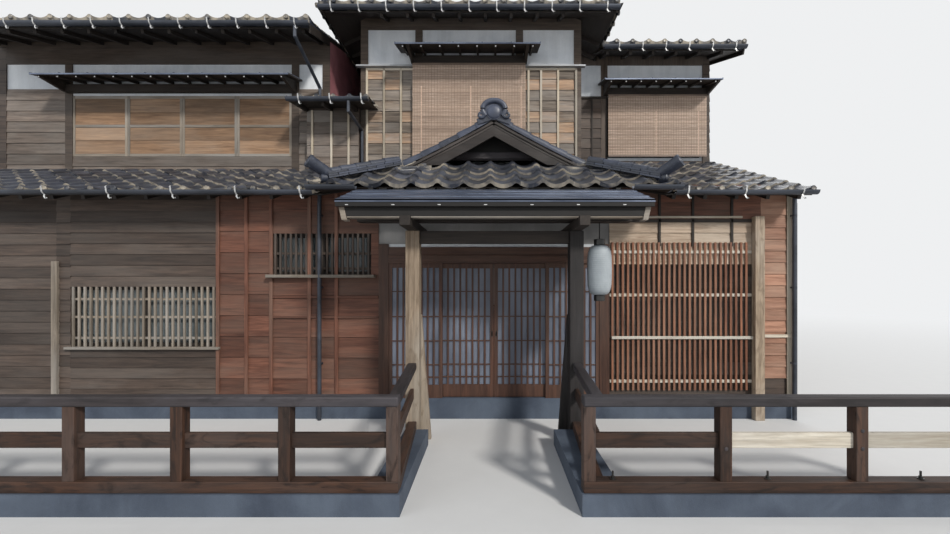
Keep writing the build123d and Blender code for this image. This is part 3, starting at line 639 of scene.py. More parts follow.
# Near-black timber: dark wood darkened further as painted shade, for the porch's fascia, rafters, front beam
# and gable panel.
PAINTED_SHADOW_TIMBER = Wood("soot_timber", "dark_timber", grey(0.005), (0.014, 0.012, 0.011), (0.022, 0.020, 0.019),
    0.2)
GABLE_TIMBER = Wood("gable_timber", "dark_timber", (0.012, 0.009, 0.008), (0.046, 0.035, 0.030),
    (0.14, 0.125, 0.115), 0.5, roughness=0.42)
FACE_TIMBER = Wood("face_timber", "dark_timber", (0.040, 0.028, 0.021), (0.135, 0.098, 0.074),
    (0.15, 0.13, 0.115), 0.4, grain=Grain.ALONG_Z)
POST_TIMBER = Wood("post_timber", "dark_timber", (0.18, 0.125, 0.080), (0.56, 0.435, 0.315),
    (0.50, 0.455, 0.39), 0.5, stains=0.55, grain=Grain.ALONG_Z)
# Copy of the post timber darkened as painted shade, for the right porch post.
PAINTED_SHADOW_POST = Wood("shaded_post", "dark_timber", (0.008, 0.007, 0.007), (0.030, 0.025, 0.024),
    (0.056, 0.053, 0.056), 0.4, grain=Grain.ALONG_Z)
BOARDS = Wood("weathered_boards", "weathered_boards", (0.070, 0.050, 0.038), (0.37, 0.30, 0.235),
    (0.36, 0.335, 0.31), 0.55, spread=0.42, blush=(0.40, 0.22, 0.11))
DIM_BOARDS = Wood("link_timber", "weathered_boards", (0.060, 0.044, 0.035), (0.215, 0.170, 0.138),
    (0.24, 0.22, 0.20), 0.5, spread=0.35)
SHUTTER_BOARDS = Wood("shutter_timber", "weathered_boards", (0.130, 0.072, 0.040), (0.37, 0.225, 0.130),
    (0.32, 0.25, 0.19), 0.4, spread=0.3)
RED_BOARDS = Wood("ground_boards", "weathered_boards", (0.060, 0.023, 0.015), (0.205, 0.086, 0.054),
    (0.17, 0.115, 0.088), 0.4, spread=0.35)
# Boards darkened as painted shade: beside the wing's blind, behind the street screen, at the far left, and on
# the back and the right end.
PAINTED_SHADOW_BOARDS = Wood("shaded_boards", "weathered_boards", (0.030, 0.021, 0.017), (0.105, 0.074, 0.057),
    (0.125, 0.108, 0.095), 0.4, spread=0.38)
# The same boards darkened as painted shade, for plain walls, with painted lap shadows in courses.
PAINTED_SHADOW_WALL_BOARDS = Wood("wall_boards", "weathered_boards", (0.030, 0.021, 0.017), (0.105, 0.074, 0.057),
    (0.125, 0.108, 0.095), 0.4, spread=0.38, course=0.19)
# Boards lightened as painted sunlight, for the band of wall above the street screen.
PAINTED_SUN_BOARDS = Wood("sunned_boards", "weathered_boards", (0.27, 0.185, 0.125), (0.62, 0.49, 0.37),
    (0.62, 0.53, 0.43), 0.5, spread=0.22)
FRESH_BOARDS = Wood("red_wall_boards", "weathered_boards", (0.21, 0.098, 0.060), (0.50, 0.265, 0.175),
    (0.50, 0.35, 0.26), 0.4, spread=0.2)
LATTICE = Wood("door_lattice", "door_lattice_wood", (0.036, 0.017, 0.012), (0.125, 0.058, 0.037),
    (0.115, 0.078, 0.060), 0.3, grain=Grain.ALONG_Z, roughness=0.5)
SCREEN_WOOD = Wood("screen_bars", "dark_timber", (0.070, 0.027, 0.016), (0.33, 0.14, 0.078),
    (0.32, 0.20, 0.14), 0.3, grain=Grain.ALONG_Z)
PALE_STRIP = Wood("pale_strip", "pale_timber", (0.34, 0.28, 0.20), (0.60, 0.52, 0.41), (0.54, 0.51, 0.46),
    0.4)
CREAM_RAIL = Wood("cream_rail", "dark_timber", (0.44, 0.38, 0.30), (0.72, 0.67, 0.57), (0.66, 0.645, 0.61),
    0.4, stains=0.3)
WEATHERED_STRIP = Wood("weathered_strip", "pale_timber", (0.14, 0.115, 0.088), (0.36, 0.305, 0.245),
    (0.34, 0.325, 0.305), 0.5)
# Dark brown fence timber, darkened further as painted shade.
FENCE_WOOD = Wood("fence_timber", "dark_timber", (0.012, 0.006, 0.004), (0.082, 0.037, 0.020),
    (0.074, 0.058, 0.052), 0.42, stains=0.8, spread=0.35)
# Grey capping rails, darkened as painted shade.
RAIL_WOOD = Wood("fence_rail", "dark_timber", (0.013, 0.011, 0.012), (0.046, 0.037, 0.038),
    (0.070, 0.067, 0.077), 0.5, stains=0.6)
FLOOR_WOOD = Wood("floor_boards", "floor_boards", (0.24, 0.15, 0.085), (0.42, 0.28, 0.17),
    grain=Grain.ALONG_X)
WALL_PLASTER = Plaster("wall_plaster", "plaster", (0.60, 0.635, 0.68), (0.80, 0.825, 0.85))
# Plaster darkened to grey as painted shade, for the wall over the door.
PAINTED_SHADOW_PLASTER = Plaster("sooty_plaster", "plaster", (0.17, 0.165, 0.16), (0.27, 0.265, 0.26))
# Concrete darkened and blued as painted shade, for the kerb, the foundation and the door sill.
PAINTED_SHADOW_CONCRETE = Plaster("plinth_concrete", "concrete", (0.034, 0.046, 0.072), (0.089, 0.113, 0.153), grit=90.0,
    relief=0.0015)
# Dark sheet metal; its bluish light tone is a painted sky sheen.
EAVE_METAL = SheetMetal("eave_metal", "sheet_copper", (0.055, 0.068, 0.105), (0.175, 0.205, 0.275),
    roughness=0.3)
# Maroon sheet lightened past its own colour as painted sunlight.
PAINTED_SUN_MAROON = SheetMetal("maroon_metal", "maroon_sheet", (0.24, 0.085, 0.098), (0.46, 0.20, 0.215), metallic=0.1,
    roughness=0.5)
PIPE = SheetMetal("pipe_metal", "pipe_metal", (0.026, 0.030, 0.039), (0.078, 0.088, 0.112), metallic=0.4)
HOOK = SheetMetal("gutter_hooks", "pipe_metal", grey(0.48), (0.70, 0.70, 0.69), metallic=0.3)
BLIND = Reed("reed_blind", "reed", (0.37, 0.265, 0.20), (0.68, 0.535, 0.43))
LEDGE_METAL = SheetMetal("ledge_metal", "sheet_copper", (0.27, 0.28, 0.295), (0.44, 0.45, 0.465),
    roughness=0.4)
THREAD = Reed("blind_thread", "reed", (0.12, 0.085, 0.065), (0.20, 0.15, 0.12))
DOOR_GLASS = Glass("door_glass", "clear_glass", (0.090, 0.105, 0.145), (0.225, 0.255, 0.325), clear=0.15)
WINDOW_GLASS = Glass("window_glass", "clear_glass", (0.14, 0.17, 0.18), (0.24, 0.275, 0.29), frost=0.12,
    clear=0.5)
# White lantern paper, greyed and blued part of the way as painted shade.
PAINTED_SHADE_PAPER = Paper("lantern_paper", "paper", (0.265, 0.305, 0.34), (0.365, 0.41, 0.445))
LACQUER = SheetMetal("black_lacquer", "black_lacquer", grey(0.012), (0.035, 0.033, 0.03), metallic=0.0,
    roughness=0.3)


def grid_faces(rows: int, columns: int, wrap: bool = False) -> Array:
    """Faces of a grid of points laid row by row.

    Args:
        rows: Number of rows of points.
        columns: Points in each row.
        wrap: Whether each row's last point joins its first.

    Returns:
        An array of four point numbers per face.
    """
    row, column = np.meshgrid(np.arange(rows - 1), np.arange(columns if wrap else columns - 1),
        indexing="ij")
    start = row * columns
    after = (column + 1) % columns
    faces = np.stack([start + column, start + after, start + columns + after, start + columns + column], -1)
    return faces.reshape(-1, 4)


BOX_CORNERS = np.array([[0, 0, 0], [1, 0, 0], [1, 1, 0], [0, 1, 0], [0, 0, 1], [1, 0, 1], [1, 1, 1],
    [0, 1, 1]], float)
BOX_FACES = np.array([[3, 2, 1, 0], [4, 5, 6, 7], [0, 1, 5, 4], [1, 2, 6, 5], [2, 3, 7, 6], [3, 0, 4, 7]])


def closed(rings: Array) -> Array:
    """Closes a tube: a ring drawn together to the middle is added at each end.

    Args:
        rings: The tube's rings of points.

    Returns:
        Two more rings.
    """
    first, last = (np.repeat(end.mean(1, keepdims=True), rings.shape[1], 1) for end in (rings[:1],
        rings[-1:]))
    return np.concatenate([first, rings, last])


class Patchwork:
    """Collects surfaces as arrays and joins them into one piece."""

    def __init__(self, name: str, seed: int = 1) -> None:
        """Starts an empty piece.

        Args:
            name: Name of the piece.
            seed: Start of its random tones.
        """
        self.name = name
        self.random = np.random.default_rng(seed)
        self.points: list[Array] = []
        self.faces: list[Array] = []
        self.shades: list[Array] = []
        self.grains: list[Array] = []
        self.count = 0

    def add(self, points: Array, faces: Array, shade: Array | float = 0.5,
            grain: Array | None = None) -> None:
        """Adds one surface, or many at once.

        Args:
            points: Array of points, three numbers each, from the house's origin.
            faces: Four point numbers per face.
            shade: Tone from 0 to 1, one number or one per point.
            grain: Pattern coordinates per point, the first along the grain.
        """
        points = points.reshape(-1, 3)
        self.points.append(points)
        self.faces.append(faces.reshape(-1, 4) + self.count)
        self.shades.append(np.broadcast_to(np.asarray(shade, float).reshape(-1), (len(points),)))
        self.grains.append(points if grain is None else grain.reshape(-1, 3))
        self.count += len(points)

    def boxes(self, lows: Array, highs: Array, along: int = 0, lean: Array | None = None) -> None:
        """Adds many upright boxes: corner = low + unit corner times size, plus an optional lean of the top.

        Args:
            lows: Lowest corners, one row each.
            highs: Highest corners, one row each.
            along: Axis that the grain runs along.
            lean: How far each box's top is moved, one row of three numbers each.
        """
        lows, highs = np.atleast_2d(lows).astype(float), np.atleast_2d(highs).astype(float)
        corners = lows[:, None] + BOX_CORNERS[None] * (highs - lows)[:, None]
        if lean is not None:
            corners = corners + np.atleast_2d(lean)[:, None] * BOX_CORNERS[None, :, 2:]
        count = len(lows)
        faces = BOX_FACES[None] + 8 * np.arange(count)[:, None, None]
        shift = self.random.uniform(0, 40, (count, 1, 3))
        order = [along] + [axis for axis in range(3) if axis != along]
        self.add(corners, faces, np.repeat(self.random.random(count), 8), (corners + shift)[..., order])

    def beam(self, start: Array, end: Array, width: float, height: float) -> None:
        """Adds a squared timber between two points, its height square to its length and upright.

        Args:
            start: Middle of one end.
            end: Middle of the other end.
            width: Size across, level.
            height: Size upwards.
        """
        start, end = np.asarray(start, float), np.asarray(end, float)
        run = end - start
        length = np.linalg.norm(run)
        ahead = run / length
        side = np.cross(UP, ahead)
        side = unit(side) if np.linalg.norm(side) > 1e-6 else RIGHT
        rise = np.cross(ahead, side)
        local = (BOX_CORNERS - (0, 0.5, 0.5)) * (length, width, height)
        points = start + local[:, :1] * ahead + local[:, 1:2] * side + local[:, 2:] * rise
        self.add(points, BOX_FACES, self.random.random(), local + self.random.uniform(0, 40, 3))

    def tube(self, path: Array, radius: Array | float, sides: int = 10) -> None:
        """Adds a round tube: each ring is centre + radius (cos a, sin a) in the plane square to the path.

        Args:
            path: Points along the middle.
            radius: One radius, or one per point.
            sides: Corners of each ring.
        """
        path = np.asarray(path, float)
        ahead = unit(np.gradient(path, axis=0))
        guide = UP if abs(ahead[0] @ UP) < 0.95 else BACK
        side = np.cross(guide, ahead)
        side[np.linalg.norm(side, axis=1) < 1e-5] = RIGHT
        side = unit(side)
        rise = np.cross(ahead, side)
        angle = np.linspace(0, 2 * np.pi, sides, endpoint=False)
        radius = np.broadcast_to(np.asarray(radius, float), (len(path),))
        ring = radius[:, None, None] * (np.cos(angle)[None, :, None] * side[:, None] + np.sin(angle)[None,
            :, None] * rise[:, None])
        body = path[:, None] + ring
        caps = np.concatenate([np.repeat(path[:1, None], sides, 1), body, np.repeat(path[-1:, None], sides,
            1)])
        self.add(caps, grid_faces(len(caps), sides, wrap=True), self.random.random())

    def lathe(self, centre: Array, axis: Array, radii: Array, depths: Array, sides: int = 16) -> None:
        """Adds a turned shape: rings of the given radii at the given depths along the axis.

        Args:
            centre: Point where the depth is nothing.
            axis: Direction of the depth.
            radii: Radius of each ring, nothing at a closed end.
            depths: Depth of each ring.
            sides: Corners of each ring.
        """
        axis = unit(np.asarray(axis, float))
        guide = UP if abs(axis @ UP) < 0.9 else BACK
        side = unit(np.cross(guide, axis))
        rise = np.cross(axis, side)
        angle = np.linspace(0, 2 * np.pi, sides, endpoint=False)
        spokes = np.cos(angle)[:, None] * side + np.sin(angle)[:, None] * rise
        rings = (np.asarray(centre) + np.asarray(depths)[:, None, None] * axis + np.asarray(radii)[:, None,
            None] * spokes[None])
        self.add(rings, grid_faces(len(rings), sides, wrap=True), self.random.random())

    def sweep(self, outline: Array, path: Array, side: Array, rise: Array) -> None:
        """Adds a closed outline carried along a path: point = path + a times side + b times rise.

        Args:
            outline: Closed outline, two numbers (a, b) per point.
            path: Points along the way.
            side: Direction of a, one row or one per path point.
            rise: Direction of b, one row or one per path point.
        """
        path = np.asarray(path, float)
        outline = np.asarray(outline, float)
        side = np.broadcast_to(side, path.shape)
        rise = np.broadcast_to(rise, path.shape)
        rings = path[:, None] + outline[None, :, :1] * side[:, None] + outline[None, :, 1:] * rise[:, None]
        body = closed(rings)
        length = np.linalg.norm(np.diff(path, axis=0), axis=1).cumsum()
        distance = np.concatenate([[0.0, 0.0], length, length[-1:]])
        grain = np.zeros(body.shape)
        grain[..., 0] = distance[:, None]
        grain[..., 1:] = outline
        self.add(body, grid_faces(len(body), len(outline), wrap=True), self.random.random(),
            grain + self.random.uniform(0, 40, 3))

    def build(self, finish: Finish, *replaced: str, body: str = HOUSE, bevel: float = 0.0,
            smooth: float = 35.0) -> bpy.types.Object:
        """Makes the Blender object, closes its seams, dresses it and lets it ride on its body.

        Args:
            finish: The finish it gets.
            *replaced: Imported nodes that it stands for.
            body: Body that it moves with.
            bevel: Width of the worn edges in metres, or nothing.
            smooth: Angle in degrees past which an edge is sharp.

        Returns:
            The finished object.
        """
        mesh = bpy.data.meshes.new(self.name)
        points = np.concatenate(self.points) + ORIGIN
        mesh.from_pydata(points.tolist(), [], np.concatenate(self.faces).tolist())
        carry(mesh, np.concatenate(self.shades), np.concatenate(self.grains))
        shape = bmesh.new()
        shape.from_mesh(mesh)
        bmesh.ops.dissolve_degenerate(shape, dist=1e-6, edges=shape.edges)
        bmesh.ops.recalc_face_normals(shape, faces=shape.faces)
        shape.to_mesh(mesh)
        shape.free()
        piece = placed(self.name, mesh)
        if bevel:
            wear(piece, bevel)
        return dress(piece, finish, replaced, body, smooth)


def dress(piece: bpy.types.Object, finish: Finish, replaced: tuple[str, ...] = (), body: str = HOUSE,
        smooth: float = 35.0) -> bpy.types.Object:
    """Gives a new piece its finish and its body, and hides the nodes that it stands for.

    Args:
        piece: The Blender object.
        finish: The finish it gets.
        replaced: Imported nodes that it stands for.
        body: Body that it moves with.
        smooth: Angle in degrees past which an edge is sharp.

    Returns:
        The same object.
    """
    piece.data.materials.clear()
    piece.data.materials.append(finish.material())
    piece.data.polygons.foreach_set("use_smooth", np.ones(len(piece.data.polygons), bool))
    piece.data.set_sharp_from_angle(angle=math.radians(smooth))
    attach(piece, body)
    if replaced:
        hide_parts(*replaced)
    LOG.info("%s: %d faces", piece.name, len(piece.data.polygons))
    return piece


def timber_numbers(mesh: bpy.types.Mesh) -> Array:
    """Which separate timber each point belongs to.

    Every point takes the lowest number among the points that edges join it to, until nothing changes.

    Args:
        mesh: The merged mesh.

    Returns:
        One whole number per point, counted from nothing.
    """
    edges = read(mesh.edges, "vertices", 2, int)
    label = np.arange(len(mesh.vertices))
    while True:
        after = label.copy()
        lowest = label[edges].min(1)
        np.minimum.at(after, edges[:, 0], lowest)
        np.minimum.at(after, edges[:, 1], lowest)
        if (after == label).all():
            return np.unique(label, return_inverse=True)[1]
        label = after[after]


def give_grain(mesh: bpy.types.Mesh, seed: int) -> None:
    """Gives each separate timber its tone and a grain along its longest side.

    Args:
        mesh: The merged mesh.
        seed: Start of the random tones.
    """
    points = read(mesh.vertices, "co")
    number = timber_numbers(mesh)
    count = number.max() + 1
    low, high = np.full((count, 3), np.inf), np.full((count, 3), -np.inf)
    np.minimum.at(low, number, points)
    np.maximum.at(high, number, points)
    random = np.random.default_rng(seed)
    order = np.array([[0, 1, 2], [1, 0, 2], [2, 0, 1]])[(high - low).argmax(1)]
    grain = np.take_along_axis(points, order[number], 1) + random.uniform(0, 40, (count, 3))[number]
    carry(mesh, random.random(count)[number], grain)


@dataclass(frozen=True)
class Region:
    """A box, from the house's origin, in which a piece's faces get another finish."""

    low: Triple
    high: Triple
    finish: Finish


def softened(node: str, finish: Finish, width: float, body: str = HOUSE, regions: tuple[Region,
        ...] = ()) -> bpy.types.Object:
    """A copy of a packed timber with its edges worn round, which stands for the node.

    Args:
        node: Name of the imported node.
        finish: The finish it gets.
        width: Width of the worn edges in metres.
        body: Body that it moves with.
        regions: Boxes whose faces get another finish.

    Returns:
        The new piece.
    """
    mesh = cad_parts[node].data.copy()
    shape = bmesh.new()
    shape.from_mesh(mesh)
    bmesh.ops.remove_doubles(shape, verts=shape.verts, dist=1e-5)
    bmesh.ops.dissolve_limit(shape, angle_limit=math.radians(1.0), verts=shape.verts, edges=shape.edges)
    shape.to_mesh(mesh)
    shape.free()
    give_grain(mesh, sum(map(ord, node)))
    piece = placed(f"{node}_worn", mesh)
    wear(piece, width, 40.0)
    dress(piece, finish, (node,), body)
    centres = read(mesh.polygons, "center") - ORIGIN
    chosen = np.zeros(len(mesh.polygons), int)
    for number, region in enumerate(regions, 1):
        mesh.materials.append(region.finish.material())
        chosen[np.all((centres >= region.low) & (centres <= region.high), 1)] = number
    mesh.polygons.foreach_set("material_index", chosen)
    return piece


def paint(node: str, finish: Finish) -> None:
    """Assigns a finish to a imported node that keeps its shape.

    Args:
        node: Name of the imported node.
        finish: The finish it gets.
    """
    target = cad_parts[node]
    for slot in target.material_slots:
        slot.material = finish.material()


@dataclass
class Slope:
    """One face of a roof: stations from the eave upwards, with the face's left and right limits at each.

    A point of the face is corner + s across + run inward + rise up + h normal.
    """

    corner: Array
    across: Array
    inward: Array
    run: Array
    rise: Array
    left: Array
    right: Array

    def __post_init__(self) -> None:
        """Works out the distance of each station along the face."""
        steps = np.hypot(np.diff(self.run), np.diff(self.rise))
        self.distance = np.concatenate([[0.0], np.cumsum(steps)])
        slope = np.gradient(self.rise, self.run)
        self.normal_run = -slope / np.hypot(slope, 1.0)
        self.normal_rise = 1.0 / np.hypot(slope, 1.0)

    def point(self, s: Array, v: Array, h: Array) -> Array:
        """Points at s along the eave, v up the face and h above it.

        Args:
            s: Distances along the eave.
            v: Distances up the face.
            h: Heights above the face.

        Returns:
            Array of points.
        """
        run = np.interp(v, self.distance, self.run) + np.minimum(v, 0)
        rise = np.interp(v, self.distance, self.rise)
        out = np.interp(v, self.distance, self.normal_run) * h
        lift = np.interp(v, self.distance, self.normal_rise) * h
        return (self.corner + s[..., None] * self.across + (run + out)[..., None] * self.inward
            + (rise + lift)[..., None] * UP)

    def limits(self, v: Array) -> tuple[Array, Array]:
        """Left and right limits at distances up the face."""
        return np.interp(v, self.distance, self.left), np.interp(v, self.distance, self.right)


@dataclass
class TiledRoof:
    """Curved clay tiles in courses on their boards, with rafters under the eave."""

    name: str
    slopes: list[Slope]
    replaced: tuple[str, ...]
    pitch: float = 0.29
    exposure: float = 0.265
    trough: float = 0.024
    roll: float = 0.027
    lift: float = 0.026
    top: float = -0.040
    board_top: float = -0.078
    board_bottom: float = -0.1
    rafter: float = 0.055
    rafter_pitch: float = 0.4
    overhang: float = 0.55
    reach: float = 0.055
    bosses: bool = True
    kick: float = 0.0
    kick_length: float = 0.8
    seed: int = 3

    def section(self, across: Array) -> Array:
        """Height of a tile across its width: a sine trough for two thirds, then a sine roll.

        Args:
            across: Place across the tile from 0 to 1.

        Returns:
            Heights in metres.
        """
        share = 0.68
        trough = -self.trough * np.sin(np.pi * np.minimum(across / share, 1.0))
        roll = self.roll * np.sin(np.pi * np.clip((across - share) / (1 - share), 0.0, 1.0))
        return trough + roll

    def lay(self, patch: Patchwork, slope: Slope) -> None:
        """Lays the courses: every tile rises towards its lower edge and ends there in a lip.

        Args:
            patch: The piece they join.
            slope: The face they lie on.
        """
        across = np.array([0, 0.12, 0.24, 0.36, 0.5, 0.6, 0.68, 0.76, 0.84, 0.92, 1.0])
        section = self.section(across)
        length = slope.distance[-1]
        courses = max(1, round(length / self.exposure))
        step = length / courses
        low, high = slope.left.min(), slope.right.max()
        columns = math.ceil((high - low) / self.pitch - 1e-6)
        pitch = (high - low) / columns
        course, column = np.meshgrid(np.arange(courses), np.arange(columns), indexing="ij")
        rows = np.array([0.0, 0.0, 0.4, 1.06])
        tilt = patch.random.uniform(-0.003, 0.003, course.shape + (1, 1))
        lift = self.lift * (1.0 - rows)[:, None]
        lip = np.where(course == 0, -0.05 - self.kick, -0.028)[..., None, None] * (np.arange(4) == 0)[:,
            None]
        height = self.top + section[None, None, None] + lift[None, None] + lip + tilt * (1.0 - rows)[:,
            None]
        slip = patch.random.uniform(-0.004, 0.004, course.shape + (1, 1))
        v = (course[..., None, None] + rows[:, None]) * step + slip - 0.02
        v = np.where(course[..., None, None] == 0, v - (self.reach - 0.02) * (1.0 - rows[:, None]), v)
        v = np.minimum(np.broadcast_to(v, height.shape), length)
        s = low + (column[..., None, None] + across) * pitch
        s = np.broadcast_to(s, height.shape)
        height = height + self.kick * np.clip(1.0 - v / self.kick_length, 0.0, 1.0) ** 2
        left, right = slope.limits(v)
        trimmed = np.clip(s, left, right)
        points = slope.point(trimmed, v, height)
        cell = grid_faces(4, len(across))
        count = courses * columns
        faces = cell[None] + (4 * len(across)) * np.arange(count)[:, None, None]
        flat = trimmed.reshape(-1)
        width = flat[faces].max(-1) - flat[faces].min(-1)
        tone = np.repeat(patch.random.random(count), 4 * len(across))
        patch.add(points, faces[width > 1e-4], tone, points + tone.reshape(points.shape[:-1])[..., None])
        if self.bosses:
            self.ends(patch, slope, low + (np.arange(columns) + 0.84) * pitch)

    def ends(self, patch: Patchwork, slope: Slope, places: Array) -> None:
        """Small round bosses on the lower ends of the eave tiles' rolls.

        Args:
            patch: The piece they join.
            slope: The face they end.
            places: Their distances along the eave.
        """
        left, right = slope.limits(np.zeros(1))
        places = places[(places > left[0] + 0.04) & (places < right[0] - 0.04)]
        for place in places:
            centre = slope.point(np.array(place), np.array(0.004 - self.reach),
                np.array(self.top + self.roll + self.kick - 0.010))
            patch.lathe(centre, -slope.inward, (0.036, 0.036, 0.029, 0.022, 0.0),
                (-0.03, 0.012, 0.018, 0.014, 0.017), 10)

    def build(self) -> None:
        """Builds the tiles, and the boards and rafters under them."""
        tiles = Patchwork(f"{self.name}_tiles", self.seed)
        under = Patchwork(f"{self.name}_boards", self.seed + 1)
        for slope in self.slopes:
            self.lay(tiles, slope)
            self.board(under, slope)
        tiles.build(ROOF_TILE, *self.replaced, smooth=50)
        under.build(DARK_TIMBER, smooth=30)

    def board(self, patch: Patchwork, slope: Slope) -> None:
        """The closed layer of boards under the tiles, and the rafters that show under the eave.

        Args:
            patch: The piece they join.
            slope: The face they carry.
        """
        v = slope.distance
        top, bottom = np.full(len(v), self.board_top), np.full(len(v), self.board_bottom)
        corners = [slope.point(slope.left, v, top), slope.point(slope.right, v, top),
            slope.point(slope.right, v, bottom), slope.point(slope.left, v, bottom)]
        rings = closed(np.stack(corners, 1))
        patch.add(rings, grid_faces(len(rings), 4, wrap=True), 0.4, rings[..., [1, 0, 2]])
        inside = self.overhang / math.cos(math.atan2(slope.rise[-1], slope.run[-1]))
        ends = np.array([0.03, inside])
        left, right = slope.limits(ends)
        places = np.arange(slope.left[0] + 0.12, slope.right[0] - 0.1, self.rafter_pitch)
        places = places[(places > left[1]) & (places < right[1])]
        depth = self.board_bottom - self.rafter / 2
        for place in places:
            line = slope.point(np.full(2, place), ends, np.full(2, depth))
            patch.beam(line[0], line[1], 0.045, self.rafter)


def flat_slope(corner: Triple, across: tuple[float, float], depth: float, pitch: float,
        left: tuple[float, float], right: tuple[float, float]) -> Slope:
    """A plane roof face.

    Args:
        corner: Point of the eave where s is nothing, on the face.
        across: Level direction along the eave, with the face on its left.
        depth: Level distance from the eave to the top.
        pitch: Rise over run.
        left: Left limit at the eave and at the top.
        right: Right limit at the eave and at the top.

    Returns:
        The face.
    """
    direction = np.array([across[0], across[1], 0.0])
    inward = np.cross(UP, direction)
    run = np.array([0.0, depth])
    return Slope(np.array(corner), direction, inward, run, run * pitch, np.array(left), np.array(right))


def street_slope(corner: Triple, run: Array, rise: Array, left: Array, right: Array) -> Slope:
    """A roof face that looks at the street, with its eave along X.

    Args:
        corner: Point of the eave where s is nothing, on the face.
        run: Level distance of each station from the eave.
        rise: Height of each station above the eave.
        left: Left limit at each station.
        right: Right limit at each station.

    Returns:
        The face.
    """
    return Slope(np.array(corner), RIGHT, BACK, run, rise, left, right)


@dataclass
class UpperRoofs:
    """The hipped roof of the middle block and the gabled roofs of the wings."""

    block_pitch: float = 0.45
    left_pitch: float = 0.30
    right_pitch: float = 0.35
    slab: float = 0.1

    def build(self) -> None:
        """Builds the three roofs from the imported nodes' boxes."""
        self.block()
        self.gabled("left_wing_roof", self.left_pitch, 0.75, 11)
        self.right_wing()

    def block(self) -> None:
        """Four hipped faces: each face's limits close in by the run at the hips."""
        low, high = node_box("block_roof")
        width, length = high[0] - low[0], high[1] - low[1]
        half = width / 2
        eave = low[2] + self.slab
        slopes = []
        for corner, across, side, end in (((low[0], low[1]), (1, 0), width, half),
                ((high[0], low[1]), (0, 1), length, half), ((high[0], high[1]), (-1, 0), width, half),
                ((low[0], high[1]), (0, -1), length, half)):
            slopes.append(flat_slope((*corner, eave), across, half, self.block_pitch, (0, end),
                (side, side - end)))
        TiledRoof("block_roof", slopes, ("block_roof",), kick=0.05, seed=5).build()

    def gabled(self, node: str, pitch: float, overhang: float, seed: int) -> None:
        """Two plain faces.

        Args:
            node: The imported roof.
            pitch: Rise over run.
            overhang: Level reach of the eave past the wall.
            seed: Start of the random tones.
        """
        low, high = node_box(node)
        width, depth = high[0] - low[0], (high[1] - low[1]) / 2
        eave = low[2] + self.slab
        slopes = [flat_slope((low[0], low[1], eave), (1, 0), depth, pitch, (0, 0), (width, width)),
            flat_slope((high[0], high[1], eave), (-1, 0), depth, pitch, (0, 0), (width, width))]
        TiledRoof(node, slopes, (node,), overhang=overhang, kick=0.05, seed=seed).build()

    def right_wing(self) -> None:
        """Two faces whose inner limits follow the valleys against the middle block."""
        low, high = node_box("right_wing_roof")
        block_low, block_high = node_box("block_roof")
        depth = (high[1] - low[1]) / 2
        eave = high[2] - self.right_pitch * depth
        block_eave = block_low[2] + self.slab
        run = np.linspace(0, depth, 9)
        height = eave + self.right_pitch * run
        valley = block_high[0] - np.maximum(height - block_eave, 0.0) / self.block_pitch
        slopes = []
        for front in (True, False):
            y = low[1] if front else high[1]
            corner = np.array([block_high[0] if front else high[0], y, eave])
            across = np.array([1.0 if front else -1.0, 0, 0])
            width = high[0] - block_high[0]
            inner = valley - block_high[0] - 0.03
            left = inner if front else np.zeros(9)
            right = np.full(9, width) if front else width - inner
            slopes.append(Slope(corner, across, np.cross(UP, across), run, height - eave, left, right))
        TiledRoof("right_wing_roof", slopes, ("right_wing_roof",), kick=0.05, seed=17).build()


@dataclass
class LowerRoofs:
    """The pent roofs along the street, and the link's roof."""

    pitch: float = 0.42
    slab: float = 0.09
    link_pitch: float = 0.15
    link_slab: float = 0.08

    def build(self) -> None:
        """Builds the pent roofs with their valleys against the porch roof, and the link's roof."""
        low, high = node_box("pent_roofs")
        porch_low, porch_high = node_box("porch_side_slopes")
        block_low, block_high = node_box("block_front_wall")
        eave = low[2] + self.slab
        profile = PorchRoof()
        depths = [block_low[1] - low[1] - 0.02, high[1] - low[1]]
        run = np.linspace(0, depths[0], 9)
        valley = profile.reach_at(eave + self.pitch * run, porch_low, porch_high)
        inner = -valley - low[0] + 0.03
        seam = np.full(9, block_high[0])
        slopes = [street_slope((low[0], low[1], eave), run, self.pitch * run, np.zeros(9), inner),
            street_slope((0.0, low[1], eave), run, self.pitch * run, np.minimum(valley - 0.03, seam), seam)]
        run = np.linspace(0, depths[1], 9)
        valley = profile.reach_at(eave + self.pitch * run, porch_low, porch_high)
        slopes.append(street_slope((0.0, low[1], eave), run, self.pitch * run, np.maximum(valley - 0.03,
            seam), np.full(9, high[0])))
        TiledRoof("pent_roofs", slopes, ("pent_roofs",), overhang=0.33, seed=23).build()
        self.link()

    def link(self) -> None:
        """The low roof between the left wing and the block: a wide front and a narrow back."""
        low, high = node_box("link_roof")
        wall = node_box("link_wall")
        gable = node_box("maroon_gable_wall")[1]
        block = node_box("block_front_wall")[0]
        eave = low[2] + self.link_slab
        front = wall[1][1] - low[1]
        depth = high[1] - low[1]
        run = np.array([0.0, front, front + 0.001, depth])
        left = np.array([0.0, 0.0, gable[0] - low[0], gable[0] - low[0]])
        right = np.array([high[0] - low[0], high[0] - low[0], block[0] - low[0], block[0] - low[0]])
        slope = street_slope((low[0], low[1], eave), run, run * self.link_pitch, left, right)
        TiledRoof("link_roof", [slope], ("link_roof",), board_bottom=-self.link_slab, overhang=0.4,
            seed=29).build()


